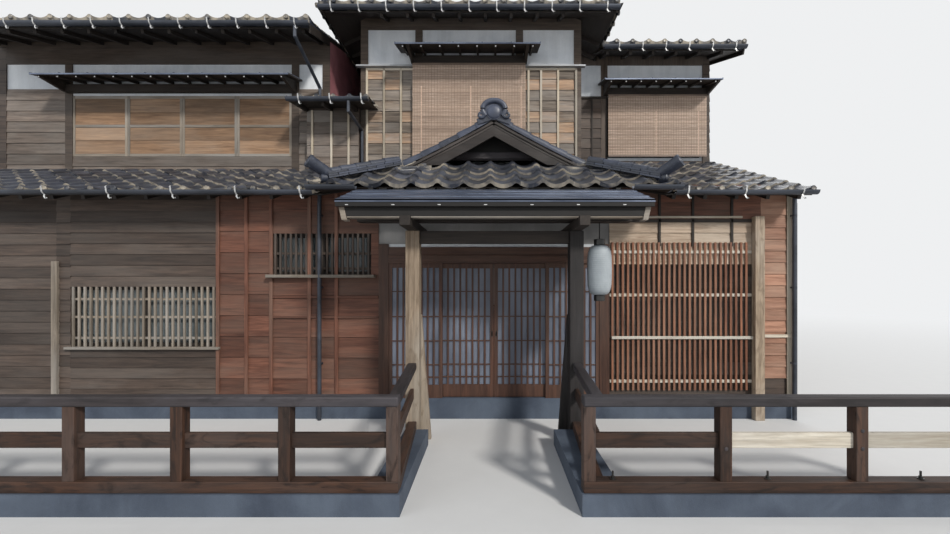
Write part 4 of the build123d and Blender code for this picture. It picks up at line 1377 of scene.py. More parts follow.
@dataclass
class PorchRoof:
    """Hip-and-gable roof over the entrance, with sagging side slopes."""

    sag: float = 0.045
    slab: float = 0.07
    skirt_pitch: float = 0.55
    verge: float = 0.13

    def arc(self, half: float, rise: float, stations: int = 15) -> tuple[Array, Array]:
        """Stations of a side slope from its eave to the ridge: a shallow arc that sags in the middle.

        Args:
            half: Level distance from eave to ridge.
            rise: Height from eave to ridge.
            stations: How many.

        Returns:
            Runs and rises.
        """
        chord = math.hypot(half, rise)
        deep = self.sag * half / chord
        radius = (chord ** 2 / 4 + deep ** 2) / (2 * deep)
        normal = np.array([-rise, half]) / chord
        centre = np.array([half / 2, rise / 2]) + normal * (radius - deep)
        start = math.atan2(-centre[1], -centre[0])
        stop = math.atan2(rise - centre[1], half - centre[0])
        angle = np.linspace(start, stop, stations)
        return centre[0] + radius * np.cos(angle), centre[1] + radius * np.sin(angle)

    def reach_at(self, heights: Array, low: Array, high: Array) -> Array:
        """Distance from the centre line at which the side slopes reach given heights.

        Args:
            heights: Heights above the street.
            low: Lowest corner of the side slopes.
            high: Highest corner of the side slopes.

        Returns:
            Distances.
        """
        half = high[0]
        eave = low[2] + self.slab
        run, rise = self.arc(half, high[2] - eave)
        return half - np.interp(heights - eave, rise, run)

    def build(self) -> None:
        """Builds the skirt, the two side slopes, the verge tiles and the verge boards."""
        low, high = node_box("porch_side_slopes")
        half = high[0]
        eave = low[2] + self.slab
        run, rise = self.arc(half, high[2] - eave)
        foot = float(self.reach_at(np.array([eave + self.skirt_pitch * (self.verge - low[1])]), low,
            high)[0])
        depth = self.verge - low[1]
        skirt_deep = node_box("gable_panel")[0][1] - low[1] + 0.02
        skirt_run = np.array([0.0, depth, depth + 0.001, skirt_deep])
        inset = half - foot
        panel = node_box("gable_panel")[1][0]
        slopes = [street_slope((-half, low[1], eave), skirt_run, skirt_run * self.skirt_pitch,
            np.array([0.0, inset, half - panel, half - panel]),
            np.array([2 * half, 2 * half - inset, half + panel, half + panel]))]
        back = high[1]
        hip = np.interp(run, [0.0, inset], [0.0, depth], right=depth)
        total = back - low[1]
        pent = node_box("pent_roofs")[0]
        pent_eave = pent[2] + LowerRoofs.slab
        pent_depth = (rise + eave - pent_eave) / LowerRoofs.pitch + pent[1] + 0.04
        reach = np.clip(pent_depth - low[1], 0.3, total)
        for side in (1, -1):
            across = np.array([0, float(side), 0])
            corner = np.array([side * half, low[1], eave])
            left = hip if side > 0 else -reach
            right = reach if side > 0 else -hip
            slopes.append(Slope(corner, across, np.cross(UP, across), run, rise, left, right))
        TiledRoof("porch_roof", slopes, ("porch_skirt", "porch_side_slopes"), board_bottom=-self.slab,
            board_top=-0.062, top=-0.03, lift=0.03, trough=0.03, roll=0.034, pitch=0.315, exposure=0.30,
            reach=0.03, bosses=False, overhang=0.5, seed=31).build()
        self.rakes(run, rise, half, eave, foot)

    def rakes(self, run: Array, rise: Array, half: float, eave: float, foot: float) -> None:
        """Verge tiles and layered boards that follow the gable's sagging edge on both sides.

        Args:
            run: Runs of the side slope.
            rise: Rises of the side slope.
            half: Level distance from eave to ridge.
            eave: Height of the eave.
            foot: Distance of the gable's foot from the centre line.
        """
        keep = half - run <= foot + 0.02
        run, rise = run[keep], rise[keep]
        fine = np.linspace(run[0], run[-1], 24)
        height = np.interp(fine, run, rise) + eave
        tiles = Patchwork("porch_verge_tiles", 41)
        layers = Patchwork("porch_verge_boards", 43)
        slant = np.gradient(height, fine)
        for side in (-1, 1):
            path = join(side * (half - fine), self.verge, height)
            normal = unit(join(side * slant, 0.0, 1.0))
            for front, back, top, bottom in ((-0.005, 0.06, -0.055, -0.085), (0.012, 0.06, -0.088, -0.115),
                    (0.026, 0.06, -0.118, -0.15)):
                outline = np.array([[front, bottom], [back, bottom], [back, top], [front, top]])
                layers.sweep(outline, path, BACK, normal)
            self.verge_caps(tiles, path, normal)
        tiles.build(RIDGE_TILE, smooth=40)
        layers.build(GABLE_TIMBER)

    def verge_caps(self, patch: Patchwork, path: Array, normal: Array) -> None:
        """Half-round cap tiles laid end to end up the edge, each lapping over the next.

        Args:
            patch: The piece they join.
            path: Points up the edge.
            normal: Direction out of the roof at each point.
        """
        distance = np.concatenate([[0.0], np.linalg.norm(np.diff(path, axis=0), axis=1).cumsum()])
        count = max(1, round(distance[-1] / 0.27))
        angle = np.linspace(-0.12 * np.pi, 1.12 * np.pi, 11)
        for number in range(count):
            share = (number + np.array([0.0, 0.0, 0.12, 1.1])) / count * distance[-1]
            share = np.minimum(share, distance[-1])
            centre = np.stack([np.interp(share, distance, path[:, axis]) for axis in range(3)], 1)
            out = np.stack([np.interp(share, distance, normal[:, axis]) for axis in range(3)], 1)
            radius = np.array([0.0, 0.072, 0.072, 0.058])
            rings = (centre + out * -0.015)[:, None] + radius[:, None, None] * (np.cos(angle)[None, :,
                None] * FRONT + np.sin(angle)[None, :, None] * out[:, None])
            rings = rings + np.array([0, 0.055, 0])
            patch.add(rings, grid_faces(4, 11), patch.random.random())


@dataclass
class Ridges:
    """Ridges of flat courses with round cap tiles, hips with end tiles, and the porch's scrolled end."""

    cap: float = 0.3
    crest: Triple = (0.2, 0.048, 0.07)

    def stretch(self, patch: Patchwork, start: Array, end: Array, width: float, base: float,
            radius: float) -> None:
        """One ridge: three stepped flat courses, then half-round caps that lap towards the start.

        Args:
            patch: The piece it joins.
            start: Lower or near end, on the line where the faces meet.
            end: Upper or far end.
            width: Width of the courses.
            base: Height of the courses above the line.
            radius: Radius of the caps.
        """
        start, end = np.asarray(start, float), np.asarray(end, float)
        run = end - start
        length = np.linalg.norm(run)
        ahead = run / length
        side = unit(np.cross(UP, ahead))
        rise = np.cross(ahead, side)
        half = width / 2
        level = base / 3
        right = [(half - 0.006 * (step // 2), -0.06 if step == 0 else level * ((step + 1) // 2))
            for step in range(6)]
        outline = np.array(right + [(-a, b) for a, b in reversed(right)])
        patch.sweep(outline, np.stack([start, end]), side, rise)
        count = max(1, round(length / self.cap))
        angle = np.linspace(-0.05 * np.pi, 1.05 * np.pi, 11)
        share = (np.arange(count)[:, None] + np.array([0.0, 0.0, 0.1, 1.04])) / count * length
        share = np.minimum(share, length)
        size = np.array([0.0, 1.0, 1.0, 0.89]) * radius
        centre = start + share[..., None] * ahead + base * rise
        spokes = np.cos(angle)[:, None] * side + np.sin(angle)[:, None] * rise
        rings = centre[:, :, None] + size[None, :, None, None] * spokes[None, None]
        cell = grid_faces(4, 11)
        faces = cell[None] + 44 * np.arange(count)[:, None, None]
        patch.add(rings, faces, np.repeat(patch.random.random(count), 44))

    def end_tile(self, patch: Patchwork, centre: Array, ahead: Array, radius: float) -> None:
        """A large round end tile with a rim and a boss.

        Args:
            patch: The piece it joins.
            centre: Middle of its back.
            ahead: Direction it faces.
            radius: Its radius.
        """
        radii = radius * np.array([0.0, 0.92, 1.0, 1.0, 0.94, 0.80, 0.74, 0.45, 0.40, 0.0])
        depths = radius * np.array([-0.9, -0.9, -0.7, 0.30, 0.36, 0.36, 0.26, 0.24, 0.34, 0.40])
        patch.lathe(centre, ahead, radii, depths, 20)

    def porch(self) -> None:
        """The porch's ridge, its hips with their end tiles, and the scrolled ridge end."""
        low, high = node_box("porch_side_slopes")
        roof = PorchRoof()
        half, eave = high[0], low[2] + roof.slab
        top = high[2]
        foot_z = eave + roof.skirt_pitch * (roof.verge - low[1])
        foot = float(roof.reach_at(np.array([foot_z]), low, high)[0])
        patch = Patchwork("porch_ridges_tiled", 51)
        end = node_box("porch_ridges")[1][1]
        self.stretch(patch, (0, roof.verge - 0.02, top), (0, end, top), 0.2, 0.06, 0.07)
        for side in (-1, 1):
            upper = np.array([side * foot, roof.verge, foot_z])
            corner = np.array([side * half, low[1], eave])
            self.hip(patch, corner - unit(corner - upper) * 0.2, upper)
        self.ornament(patch, np.array([0.0, roof.verge, top + 0.075]))
        patch.build(RIDGE_TILE, "porch_ridges", smooth=40)

    def hip(self, patch: Patchwork, lower: Array, upper: Array) -> None:
        """One hip of the porch: three flat courses in short tiles, and a barrel tile that points out and up.

        Each course is a row of thin boxes with open joints that steps in by 14 mm, under a row of tapered
        caps, and the barrel is a lathe with a rimmed disc.

        Args:
            patch: The piece it joins.
            lower: Lower end, on the line where the faces meet.
            upper: Upper end.
        """
        run = upper - lower
        length = np.linalg.norm(run)
        ahead = run / length
        count, caps, joint = 4, 5, 0.005 / length
        for course in range(3):
            shift = 0.5 * (course % 2)
            for number in range(count + course % 2):
                first = max(number - shift, 0.0) / count + joint
                last = min(number + 1 - shift, count) / count - joint
                lift = UP * (0.002 + 0.028 * course)
                width = 0.20 - 0.028 * course + 0.008 * patch.random.random()
                patch.beam(lower + run * first + lift, lower + run * last + lift, width, 0.021)
        for number in range(caps):
            ends = lower + run * (np.array([number - 0.12, number + 1.0])[:, None] / caps) + UP * 0.078
            patch.tube(ends, np.array([0.056, 0.046]), 14)
        level = unit(-ahead * np.array([1.0, 1.0, 0.0]))
        away = level * math.cos(math.radians(27)) + UP * math.sin(math.radians(27))
        root = lower + UP * 0.095 + level * 0.02
        radii = 0.082 * np.array([0.0, 0.80, 0.88, 0.92, 1.0, 1.0, 0.90, 0.78, 0.74, 0.42, 0.30, 0.0])
        depths = np.array([-0.12, -0.12, 0.0, 0.16, 0.19, 0.215, 0.222, 0.222, 0.212, 0.212, 0.224, 0.228])
        patch.lathe(root, away, radii, depths, 22)
        patch.lathe(lower + UP * 0.005 + level * 0.03, level,
            0.058 * np.array([0, 1.0, 1.0, 0.85, 0.6, 0.0]), (-0.06, -0.06, 0.03, 0.04, 0.034, 0.042), 16)

    def ornament(self, patch: Patchwork, centre: Array) -> None:
        """The ridge end: a domed disc, a hood that arches over it and a curl at each side.

        The hood is a tube on a circle whose radius of 145 mm opens a little towards its feet.

        Args:
            patch: The piece it joins.
            centre: Middle of its back.
        """
        dome = np.linspace(0.0, 0.5 * np.pi, 8)
        patch.lathe(centre - 0.035 * UP, FRONT, np.concatenate([[0.0, 0.104, 0.104], 0.094 * np.cos(dome)]),
            np.concatenate([[-0.02, -0.02, 0.036], 0.036 + 0.030 * np.sin(dome)]), 28)
        back = np.linspace(-0.22 * np.pi, 1.22 * np.pi, 36)
        shell = np.concatenate([[0.0], np.full(36, 1.0), [0.0]])
        turn = np.concatenate([[back[0]], back, [back[-1]]])
        face = centre + join(0.128 * shell * np.cos(turn), 0.0, 0.128 * shell * np.sin(turn))
        plate = closed(np.stack([face + [0, depth, 0] for depth in (0.0, -0.018)]))
        patch.add(plate, grid_faces(4, 38, wrap=True), 0.4)
        size = 0.138 + 0.016 * np.cos(2 * back)
        patch.tube(centre + join(size * np.cos(back), -0.024, size * np.sin(back)), 0.036, 12)
        for side in (-1, 1):
            turn = np.linspace(0.55 * np.pi, 3.4 * np.pi, 40)
            size = np.linspace(0.050, 0.010, 40)
            curl = centre + join(side * (0.172 + size * np.cos(turn)), -0.030, -0.072 + size * np.sin(turn))
            patch.tube(curl, np.linspace(0.028, 0.017, 40), 8)
            patch.beam(centre + [side * 0.02, -0.012, -0.095], centre + [side * 0.225, -0.012, -0.165],
                0.03, 0.075)

    def upper(self) -> None:
        """The middle block's ridge and hips, and the wings' ridges."""
        patch = Patchwork("upper_ridges_tiled", 53)
        low, high = node_box("block_roof")
        half = (high[0] - low[0]) / 2
        eave = low[2] + UpperRoofs.slab
        crown = eave + UpperRoofs.block_pitch * half
        middle = (low[0] + high[0]) / 2
        front, back = low[1] + half, high[1] - half
        self.stretch(patch, (middle, front, crown), (middle, back, crown), *self.crest)
        for y_end, y_corner in ((front, low[1]), (back, high[1])):
            for x_corner in (low[0], high[0]):
                corner = np.array([x_corner, y_corner, eave])
                top = np.array([middle, y_end, crown])
                ahead = unit(corner - top)
                self.stretch(patch, corner - ahead * 0.1, top, 0.14, 0.05, 0.05)
                self.end_tile(patch, corner - ahead * 0.1 + UP * 0.06, ahead, 0.085)
        for node, pitch, inner in (("left_wing_roof", UpperRoofs.left_pitch, None),
                ("right_wing_roof", UpperRoofs.right_pitch, middle)):
            low, high = node_box(node)
            y = (low[1] + high[1]) / 2
            start = low[0] if inner is None else inner + 0.25
            z = high[2]
            self.stretch(patch, (high[0] - 0.06, y, z), (start + 0.06, y, z), *self.crest)
            self.end_tile(patch, (high[0] - 0.06, y, z + 0.01), RIGHT, 0.1)
            if inner is None:
                self.end_tile(patch, (low[0] + 0.06, y, z + 0.01), (-1.0, 0, 0), 0.1)
            for x in (high[0] - 0.085,) if inner else (low[0] + 0.085, high[0] - 0.085):
                for edge in (low[1], high[1]):
                    foot = z - pitch * abs(edge - y)
                    facing = np.sign(edge - y)
                    self.stretch(patch, (x, edge, foot - 0.03),
                        (x, y + facing * 0.1, z - 0.03 - pitch * 0.1), 0.15, 0.02, 0.055)
                    self.end_tile(patch, (x, edge - facing * 0.03, foot + 0.01), (0, facing, 0), 0.078)
        patch.build(RIDGE_TILE, "upper_ridges", smooth=40)


@dataclass
class Boarding:
    """Lapped boards on an upright wall face."""

    name: str
    face: float
    panels: list[tuple[float, float, float, float]]
    course: float = 0.18
    thick: float = 0.018
    finish: Finish = BOARDS
    outwards: int = -1
    axis: int = 1
    seed: int = 61

    def build(self) -> None:
        """Each board is thin all over and leans in at its top, so its lower edge stands proud of the next."""
        patch = Patchwork(self.name, self.seed)
        along = 1 - self.axis
        for start, end, bottom, top in self.panels:
            count = max(1, round((top - bottom) / self.course))
            rise = np.linspace(bottom, top, count + 1)
            low, high = np.zeros((count, 3)), np.zeros((count, 3))
            near, far = sorted((self.face, self.face + self.outwards * self.thick * 0.35))
            low[:, along], high[:, along] = start, end
            low[:, self.axis], high[:, self.axis] = near, far
            low[:, 2], high[:, 2] = rise[:-1], rise[1:] + 0.003
            lean = np.zeros((count, 3))
            lean[:, self.axis] = -self.outwards * self.thick * 0.65
            patch.boxes(low - lean, high - lean, along, lean)
        patch.build(self.finish, smooth=20)


def uprights(patch: Patchwork, places: list[float] | Triple, face: float, bottom: float, top: float,
        width: float, depth: float, outwards: int = -1, lift: float = 0.0) -> None:
    """Adds upright strips on a wall face that looks along Y.

    Args:
        patch: The piece they join.
        places: Middle of each strip along X.
        face: Place of the wall's face along Y.
        bottom: Height of the lower ends.
        top: Height of the upper ends.
        width: Width of each strip.
        depth: How far each stands out.
        outwards: Direction along Y that the face looks in.
        lift: Gap between the face and the strips' backs.
    """
    xs = np.asarray(places, float)
    near, far = sorted((face + outwards * lift, face + outwards * (lift + depth)))
    patch.boxes(join(xs - width / 2, near, bottom), join(xs + width / 2, far, top), 2)


@dataclass
class UpperFronts:
    """Boards, battens and rails on the upper storey's street side."""

    course: float = 0.178
    block_left: tuple[float, ...] = (-2.086, -1.806, -1.525)
    block_right: tuple[float, ...] = (0.578, 0.785, 1.066, 1.363)
    blind_right: float = 0.525
    batten: float = 0.034
    foot: float = 3.42
    ledge: float = 5.363
    wing_edges: Triple = (1.84, 2.13, 3.945)
    wing_head: float = 5.26
    wing_low: float = 4.10
    left_top: float = 5.02
    link_edges: Triple = (-2.94, -2.63, -2.35)
    link_top: float = 4.62

    def build(self) -> None:
        """Builds the middle block's front, the wings' fronts and the link's front."""
        self.block()
        self.right_wing()
        self.left_wing()
        self.link()

    def block(self) -> None:
        """Boards in bays between pale battens, under the drip ledge, on both sides of the blind."""
        wall = node_box("block_front_wall")
        face = wall[0][1]
        inner_left, inner_right = node_box("reed_blinds")[0][0], self.blind_right
        edges = [wall[0][0] + 0.1, *self.block_left[1:], inner_left]
        spaces = bays(edges) + bays([inner_right, *self.block_right[1:-1], wall[1][0] - 0.1])
        Boarding("block_front_boards", face, [(a, b, self.foot, self.ledge) for a, b in spaces],
            course=self.course, seed=63).build()
        battens = Patchwork("block_front_battens", 65)
        uprights(battens, [*self.block_left, *self.block_right], face, self.foot, self.ledge, self.batten,
            0.022, lift=0.012)
        for a, b in ((self.block_left[0], inner_left), (inner_right, self.block_right[-1])):
            battens.boxes((a, face - 0.03, self.ledge - 0.034), (b, face, self.ledge))
        battens.build(PALE_STRIP, bevel=0.003)

    def right_wing(self) -> None:
        """Dark brown boards, darkened as painted shade, left of the wing's blind, with one batten, up to the
        plaster.
        """
        wall = node_box("right_wing_wall")
        left, face = wall[0][0], wall[0][1]
        batten, blind, end = self.wing_edges
        foot, head = self.foot, self.wing_head
        panels = [(left, batten, foot, head), (batten, blind, foot, head),
            (blind, end, foot, self.wing_low)]
        Boarding("right_wing_boards", face, panels, finish=PAINTED_SHADOW_BOARDS, seed=71).build()
        battens = Patchwork("right_wing_battens", 72)
        uprights(battens, [batten, blind - 0.02], face, foot, head, 0.03, 0.02, lift=0.012)
        battens.boxes((left, face - 0.035, head), (blind, face, head + 0.035))
        battens.build(DARK_TIMBER, bevel=0.002)

    def left_wing(self) -> None:
        """Boards round the rain shutters, and the shutters' frames in front of their boards."""
        wall, shutter = node_box("left_wing_wall"), node_box("rain_shutters")
        left, right = shutter[0][0], shutter[1][0]
        foot, top = self.foot, self.left_top
        Boarding("left_wing_boards", wall[0][1], [(wall[0][0], left - 0.12, foot, top),
            (right + 0.12, wall[1][0], foot, top), (left, right, foot, shutter[0][2])], finish=DIM_BOARDS,
            seed=73).build()
        edges = np.linspace(left, right, 5)
        face = shutter[0][1]
        Boarding("shutter_boards", face, [(a + 0.03, b - 0.03, shutter[0][2] + 0.04, shutter[1][2] - 0.04)
            for a, b in bays(edges)], course=0.23, thick=0.008, finish=SHUTTER_BOARDS, seed=74).build()
        frames = Patchwork("shutter_frames", 76)
        uprights(frames, [*(edges[:-1] + 0.022), *(edges[1:] - 0.022)], face, shutter[0][2], shutter[1][2],
            0.04, 0.012)
        for height in (shutter[0][2], shutter[0][2] + 0.48, shutter[1][2] - 0.045):
            frames.boxes((left, face - 0.011, height), (right, face, height + 0.045))
        frames.build(WEATHERED_STRIP, bevel=0.002)

    def link(self) -> None:
        """Boards under the link's roof, with pale battens."""
        low, high = node_box("link_wall")
        panels = [(a, b, low[2], self.link_top) for a, b in bays([low[0], *self.link_edges[1:], high[0]])]
        Boarding("link_boards", low[1] + 0.002, panels, finish=DIM_BOARDS, seed=75).build()
        battens = Patchwork("link_battens", 77)
        uprights(battens, self.link_edges, low[1], low[2], self.link_top, self.batten, 0.02, lift=0.01)
        battens.build(PALE_STRIP, bevel=0.003)


@dataclass
class GroundFronts:
    """Boards, window bars, ledges and rails on the street side of the ground floor."""

    top: float = 3.06
    side_window: tuple[float, float, float, float] = (-2.95, -1.64, 1.92, 2.47)
    far_window: tuple[float, float, float, float] = (-5.65, -3.70, 0.96, 1.76)
    right_edges: Triple = (2.205, 2.65, 3.17)
    screen: float = 3.56
    far_edges: tuple[float, float] = (-6.95, -5.84)
    near_edges: Triple = (-3.30, -2.46, -2.10)
    wide_course: float = 0.27
    narrow_course: float = 0.15

    def build(self) -> None:
        """Builds the left front, its windows and the right front."""
        self.left()
        self.windows()
        self.right()

    def left(self) -> None:
        """Narrow boards darkened as painted shade at the far end, and wide red boards by the entrance."""
        low, high = node_box("left_ground_wall")
        face, foot = low[1], SILL
        side, far = self.side_window, self.far_window
        far_batten, pale_post = self.far_edges
        joint, first, second = self.near_edges
        panels = [(a, b, foot, self.top) for a, b in bays([low[0], far_batten, pale_post, far[0]])]
        panels += [(far[0], far[1], foot, far[2]), (far[0], far[1], far[3], self.top)]
        Boarding("far_left_boards", face, panels, course=self.narrow_course, finish=PAINTED_SHADOW_BOARDS,
            seed=81).build()
        panels = [(a, b, foot, self.top) for a, b in bays([far[1], joint, side[0]])]
        panels += [(a, b, foot, side[2]) for a, b in bays([side[0], first, second, high[0]])]
        panels += [(side[0], high[0], side[3], self.top), (side[1], high[0], side[2], side[3])]
        Boarding("left_ground_boards", face, panels, course=self.wide_course, finish=RED_BOARDS,
            seed=82).build()
        battens = Patchwork("left_ground_battens", 85)
        uprights(battens, [-7.98, far_batten, -3.68, joint, -2.97, first, second], face, foot, self.top,
            0.045, 0.022, lift=0.01)
        for height in (foot + 1.08, foot + 1.35):
            battens.boxes((side[0], face - 0.03, height), (high[0], face, height + 0.028))
        battens.build(RED_BOARDS, bevel=0.003)
        pale = Patchwork("left_ground_ledge", 86)
        uprights(pale, [pale_post], face, foot, 2.1, 0.075, 0.05)
        pale.boxes((side[0] - 0.06, face - 0.1, side[2] - 0.04), (side[1] + 0.06, face, side[2]))
        pale.boxes((far[0] - 0.05, face - 0.06, far[2] - 0.035), (far[1] + 0.05, face, far[2]))
        pale.build(WEATHERED_STRIP, bevel=0.005)

    def windows(self) -> None:
        """Upright bars in front of both windows, held by level rails."""
        face = node_box("left_ground_wall")[0][1]
        for name, (left, right, bottom, top), pitch, rails, finish, seed in (("side_window_bars",
                self.side_window, 0.068, (1.99, 2.19), PAINTED_SHADOW_BOARDS, 87),
                ("far_window_bars", self.far_window, 0.078, (1.06, 1.34, 1.58), WEATHERED_STRIP, 88)):
            bars = Patchwork(name, seed)
            count = round((right - left) / pitch)
            places = left + (np.arange(count) + 0.5) * (right - left) / count
            uprights(bars, list(places), face, bottom, top, 0.026, 0.024)
            for height in rails:
                bars.boxes((left, face + 0.001, height), (right, face + 0.02, height + 0.03))
            bars.build(finish, bevel=0.002)

    def right(self) -> None:
        """Pale boards above the screen between battens, lightened as painted sunlight, boards darkened as
        painted shade behind the screen, and fresh red boards beyond its post.
        """
        low, high = node_box("right_ground_wall")
        face, foot = low[1], SILL
        screen = self.screen
        edges = [low[0], *self.right_edges, screen]
        # This band is lightened as painted sunlight; the boards under the eave above it keep the red boards'
        # own colour.
        Boarding("sunned_boards", face, [(a, b, 2.06, 2.62) for a, b in bays(edges)], course=0.14,
            finish=PAINTED_SUN_BOARDS, seed=83).build()
        Boarding("under_eave_boards", face, [(a, b, 2.66, self.top + 0.06) for a, b in bays(edges)],
            course=0.2, finish=RED_BOARDS, seed=84).build()
        Boarding("behind_screen_boards", face, [(low[0], screen, foot, 2.06)], course=0.165, thick=0.01,
            finish=PAINTED_SHADOW_BOARDS, seed=89).build()
        panels = [(screen, high[0] + 0.06, foot + 0.28, 2.55), (screen, high[0], 2.55, self.top)]
        Boarding("red_wall_boards", face, panels, course=0.155, finish=FRESH_BOARDS, seed=90).build()
        battens = Patchwork("right_ground_battens", 92)
        uprights(battens, self.right_edges, face, 2.30, self.top + 0.05, 0.032, 0.02, lift=0.01)
        battens.boxes((low[0], face - 0.03, 2.62), (screen, face, 2.66))
        battens.build(DARK_TIMBER, bevel=0.002)
        edge = Patchwork("right_wall_edge", 93)
        uprights(edge, [high[0] + 0.03], face, foot, self.top, 0.06, 0.03)
        edge.boxes((low[0], face - 0.045, 2.672), (3.30, face, 2.70))
        edge.boxes((3.555, face - 0.036, foot + 0.825), (high[0] + 0.05, face - 0.016, foot + 0.865))
        edge.build(PALE_STRIP, bevel=0.003)


@dataclass
class BackAndEnds:
    """Boards on the back wall and the right end wall, and the wings' verge boards."""

    rear_centres: tuple[float, ...] = (-6.4, -3.4, -0.4, 2.3)
    rear_half: float = 0.82
    rear_sill: float = 1.16
    rear_head: float = 2.36
    rear_top: float = 3.26
    end_course: float = 0.19

    def build(self) -> None:
        """Builds the back, the right end and the verges."""
        self.rear()
        self.right_end()
        self.verges()

    def rear(self) -> None:
        """Boards on the back wall round the lower windows, up to a rail under the plaster."""
        low, high = node_box("rear_wall")
        edges = [low[0], *[c + side * self.rear_half for c in self.rear_centres for side in (-1, 1)],
            high[0]]
        panels = [(a, b, SILL, self.rear_top) for a, b in bays(edges)[::2]]
        panels += [(c - self.rear_half, c + self.rear_half, bottom, top) for c in self.rear_centres
            for bottom, top in ((SILL, self.rear_sill), (self.rear_head, self.rear_top))]
        Boarding("rear_boards", high[1], panels, finish=PAINTED_SHADOW_BOARDS, outwards=1, seed=91).build()
        rail = Patchwork("rear_rails", 94)
        rail.boxes((low[0], high[1], self.rear_top), (high[0], high[1] + 0.05, self.rear_top + 0.04))
        frames = [(c, s, h) for c in self.rear_centres for s, h in ((self.rear_sill, self.rear_head),
            (4.26, 5.26))]
        for centre, sill, head in frames:
            left, right = centre - self.rear_half, centre + self.rear_half
            for a, b, bottom, top, depth in ((left - 0.06, right + 0.06, sill - 0.045, sill, 0.07),
                    (left - 0.06, right + 0.06, head, head + 0.045, 0.05), (left - 0.045, left, sill, head,
                    0.035), (right, right + 0.045, sill, head, 0.035)):
                rail.boxes((a, high[1], bottom), (b, high[1] + depth, top))
        rail.build(DARK_TIMBER, bevel=0.003)

    def spans(self, node: str, heights: Array) -> tuple[Array, Array]:
        """First and last place along Y that an end wall reaches at given heights.

        An outer edge of the wall is crossed where height lies between its two ends' heights, and the place
        follows from the share between them.

        Args:
            node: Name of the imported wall.
            heights: Heights above the street.

        Returns:
            Two arrays of places along Y.
        """
        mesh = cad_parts[node].data
        points = read(mesh.vertices, "co") - ORIGIN
        ends = points[read(mesh.edges, "vertices", 2, int)][:, :, 1:]
        rise = ends[:, 1, 1] - ends[:, 0, 1]
        steep = np.abs(rise) > 1e-4
        ends, rise = ends[steep], rise[steep]
        share = (heights[:, None] - ends[None, :, 0, 1]) / rise
        place = ends[None, :, 0, 0] + share * (ends[:, 1, 0] - ends[:, 0, 0])
        hit = (share >= 0) & (share <= 1)
        return np.where(hit, place, np.inf).min(1), np.where(hit, place, -np.inf).max(1)

    def right_end(self) -> None:
        """Boards on the right end wall, each as long as the wall is at the board's upper edge."""
        high = node_box("right_end_wall")[1]
        course = self.end_course
        rise = np.arange(SILL, high[2] - 0.12, course)
        near, far = self.spans("right_end_wall", rise + course - 0.005)
        panels = [(a + 0.004, b - 0.004, z, z + course) for a, b, z in zip(near, far, rise) if b - a > 0.3]
        Boarding("right_end_boards", high[0], panels, course=course, finish=PAINTED_SHADOW_BOARDS, outwards=1,
            axis=0, seed=95).build()
        battens = Patchwork("right_end_battens", 96)
        places = np.arange(0.03, 7.3, 0.91)
        tops = np.array([rise[(near < y - 0.02) & (far > y + 0.02)].max() + 0.15 for y in places])
        battens.boxes(join(high[0] + 0.01, places - 0.02, SILL), join(high[0] + 0.032, places + 0.02, tops),
            2)
        battens.build(PAINTED_SHADOW_BOARDS, bevel=0.003)

    def verges(self) -> None:
        """Verge boards under the outer edges of the wings' roofs, from eave to ridge on both sides."""
        patch = Patchwork("verge_boards", 97)
        for node, pitch, end, inset in (("left_wing_roof", UpperRoofs.left_pitch, 0, 0.016),
                ("left_wing_roof", UpperRoofs.left_pitch, 1, -0.016),
                ("right_wing_roof", UpperRoofs.right_pitch, 1, -0.016)):
            low, high = node_box(node)
            x = (low, high)[end][0] + inset
            middle, crest = (low[1] + high[1]) / 2, high[2]
            for eave in (low[1], high[1]):
                foot = crest - pitch * abs(eave - middle)
                patch.beam((x, eave, foot - 0.11), (x, middle, crest - 0.11), 0.03, 0.12)
        patch.build(DARK_TIMBER, bevel=0.003)


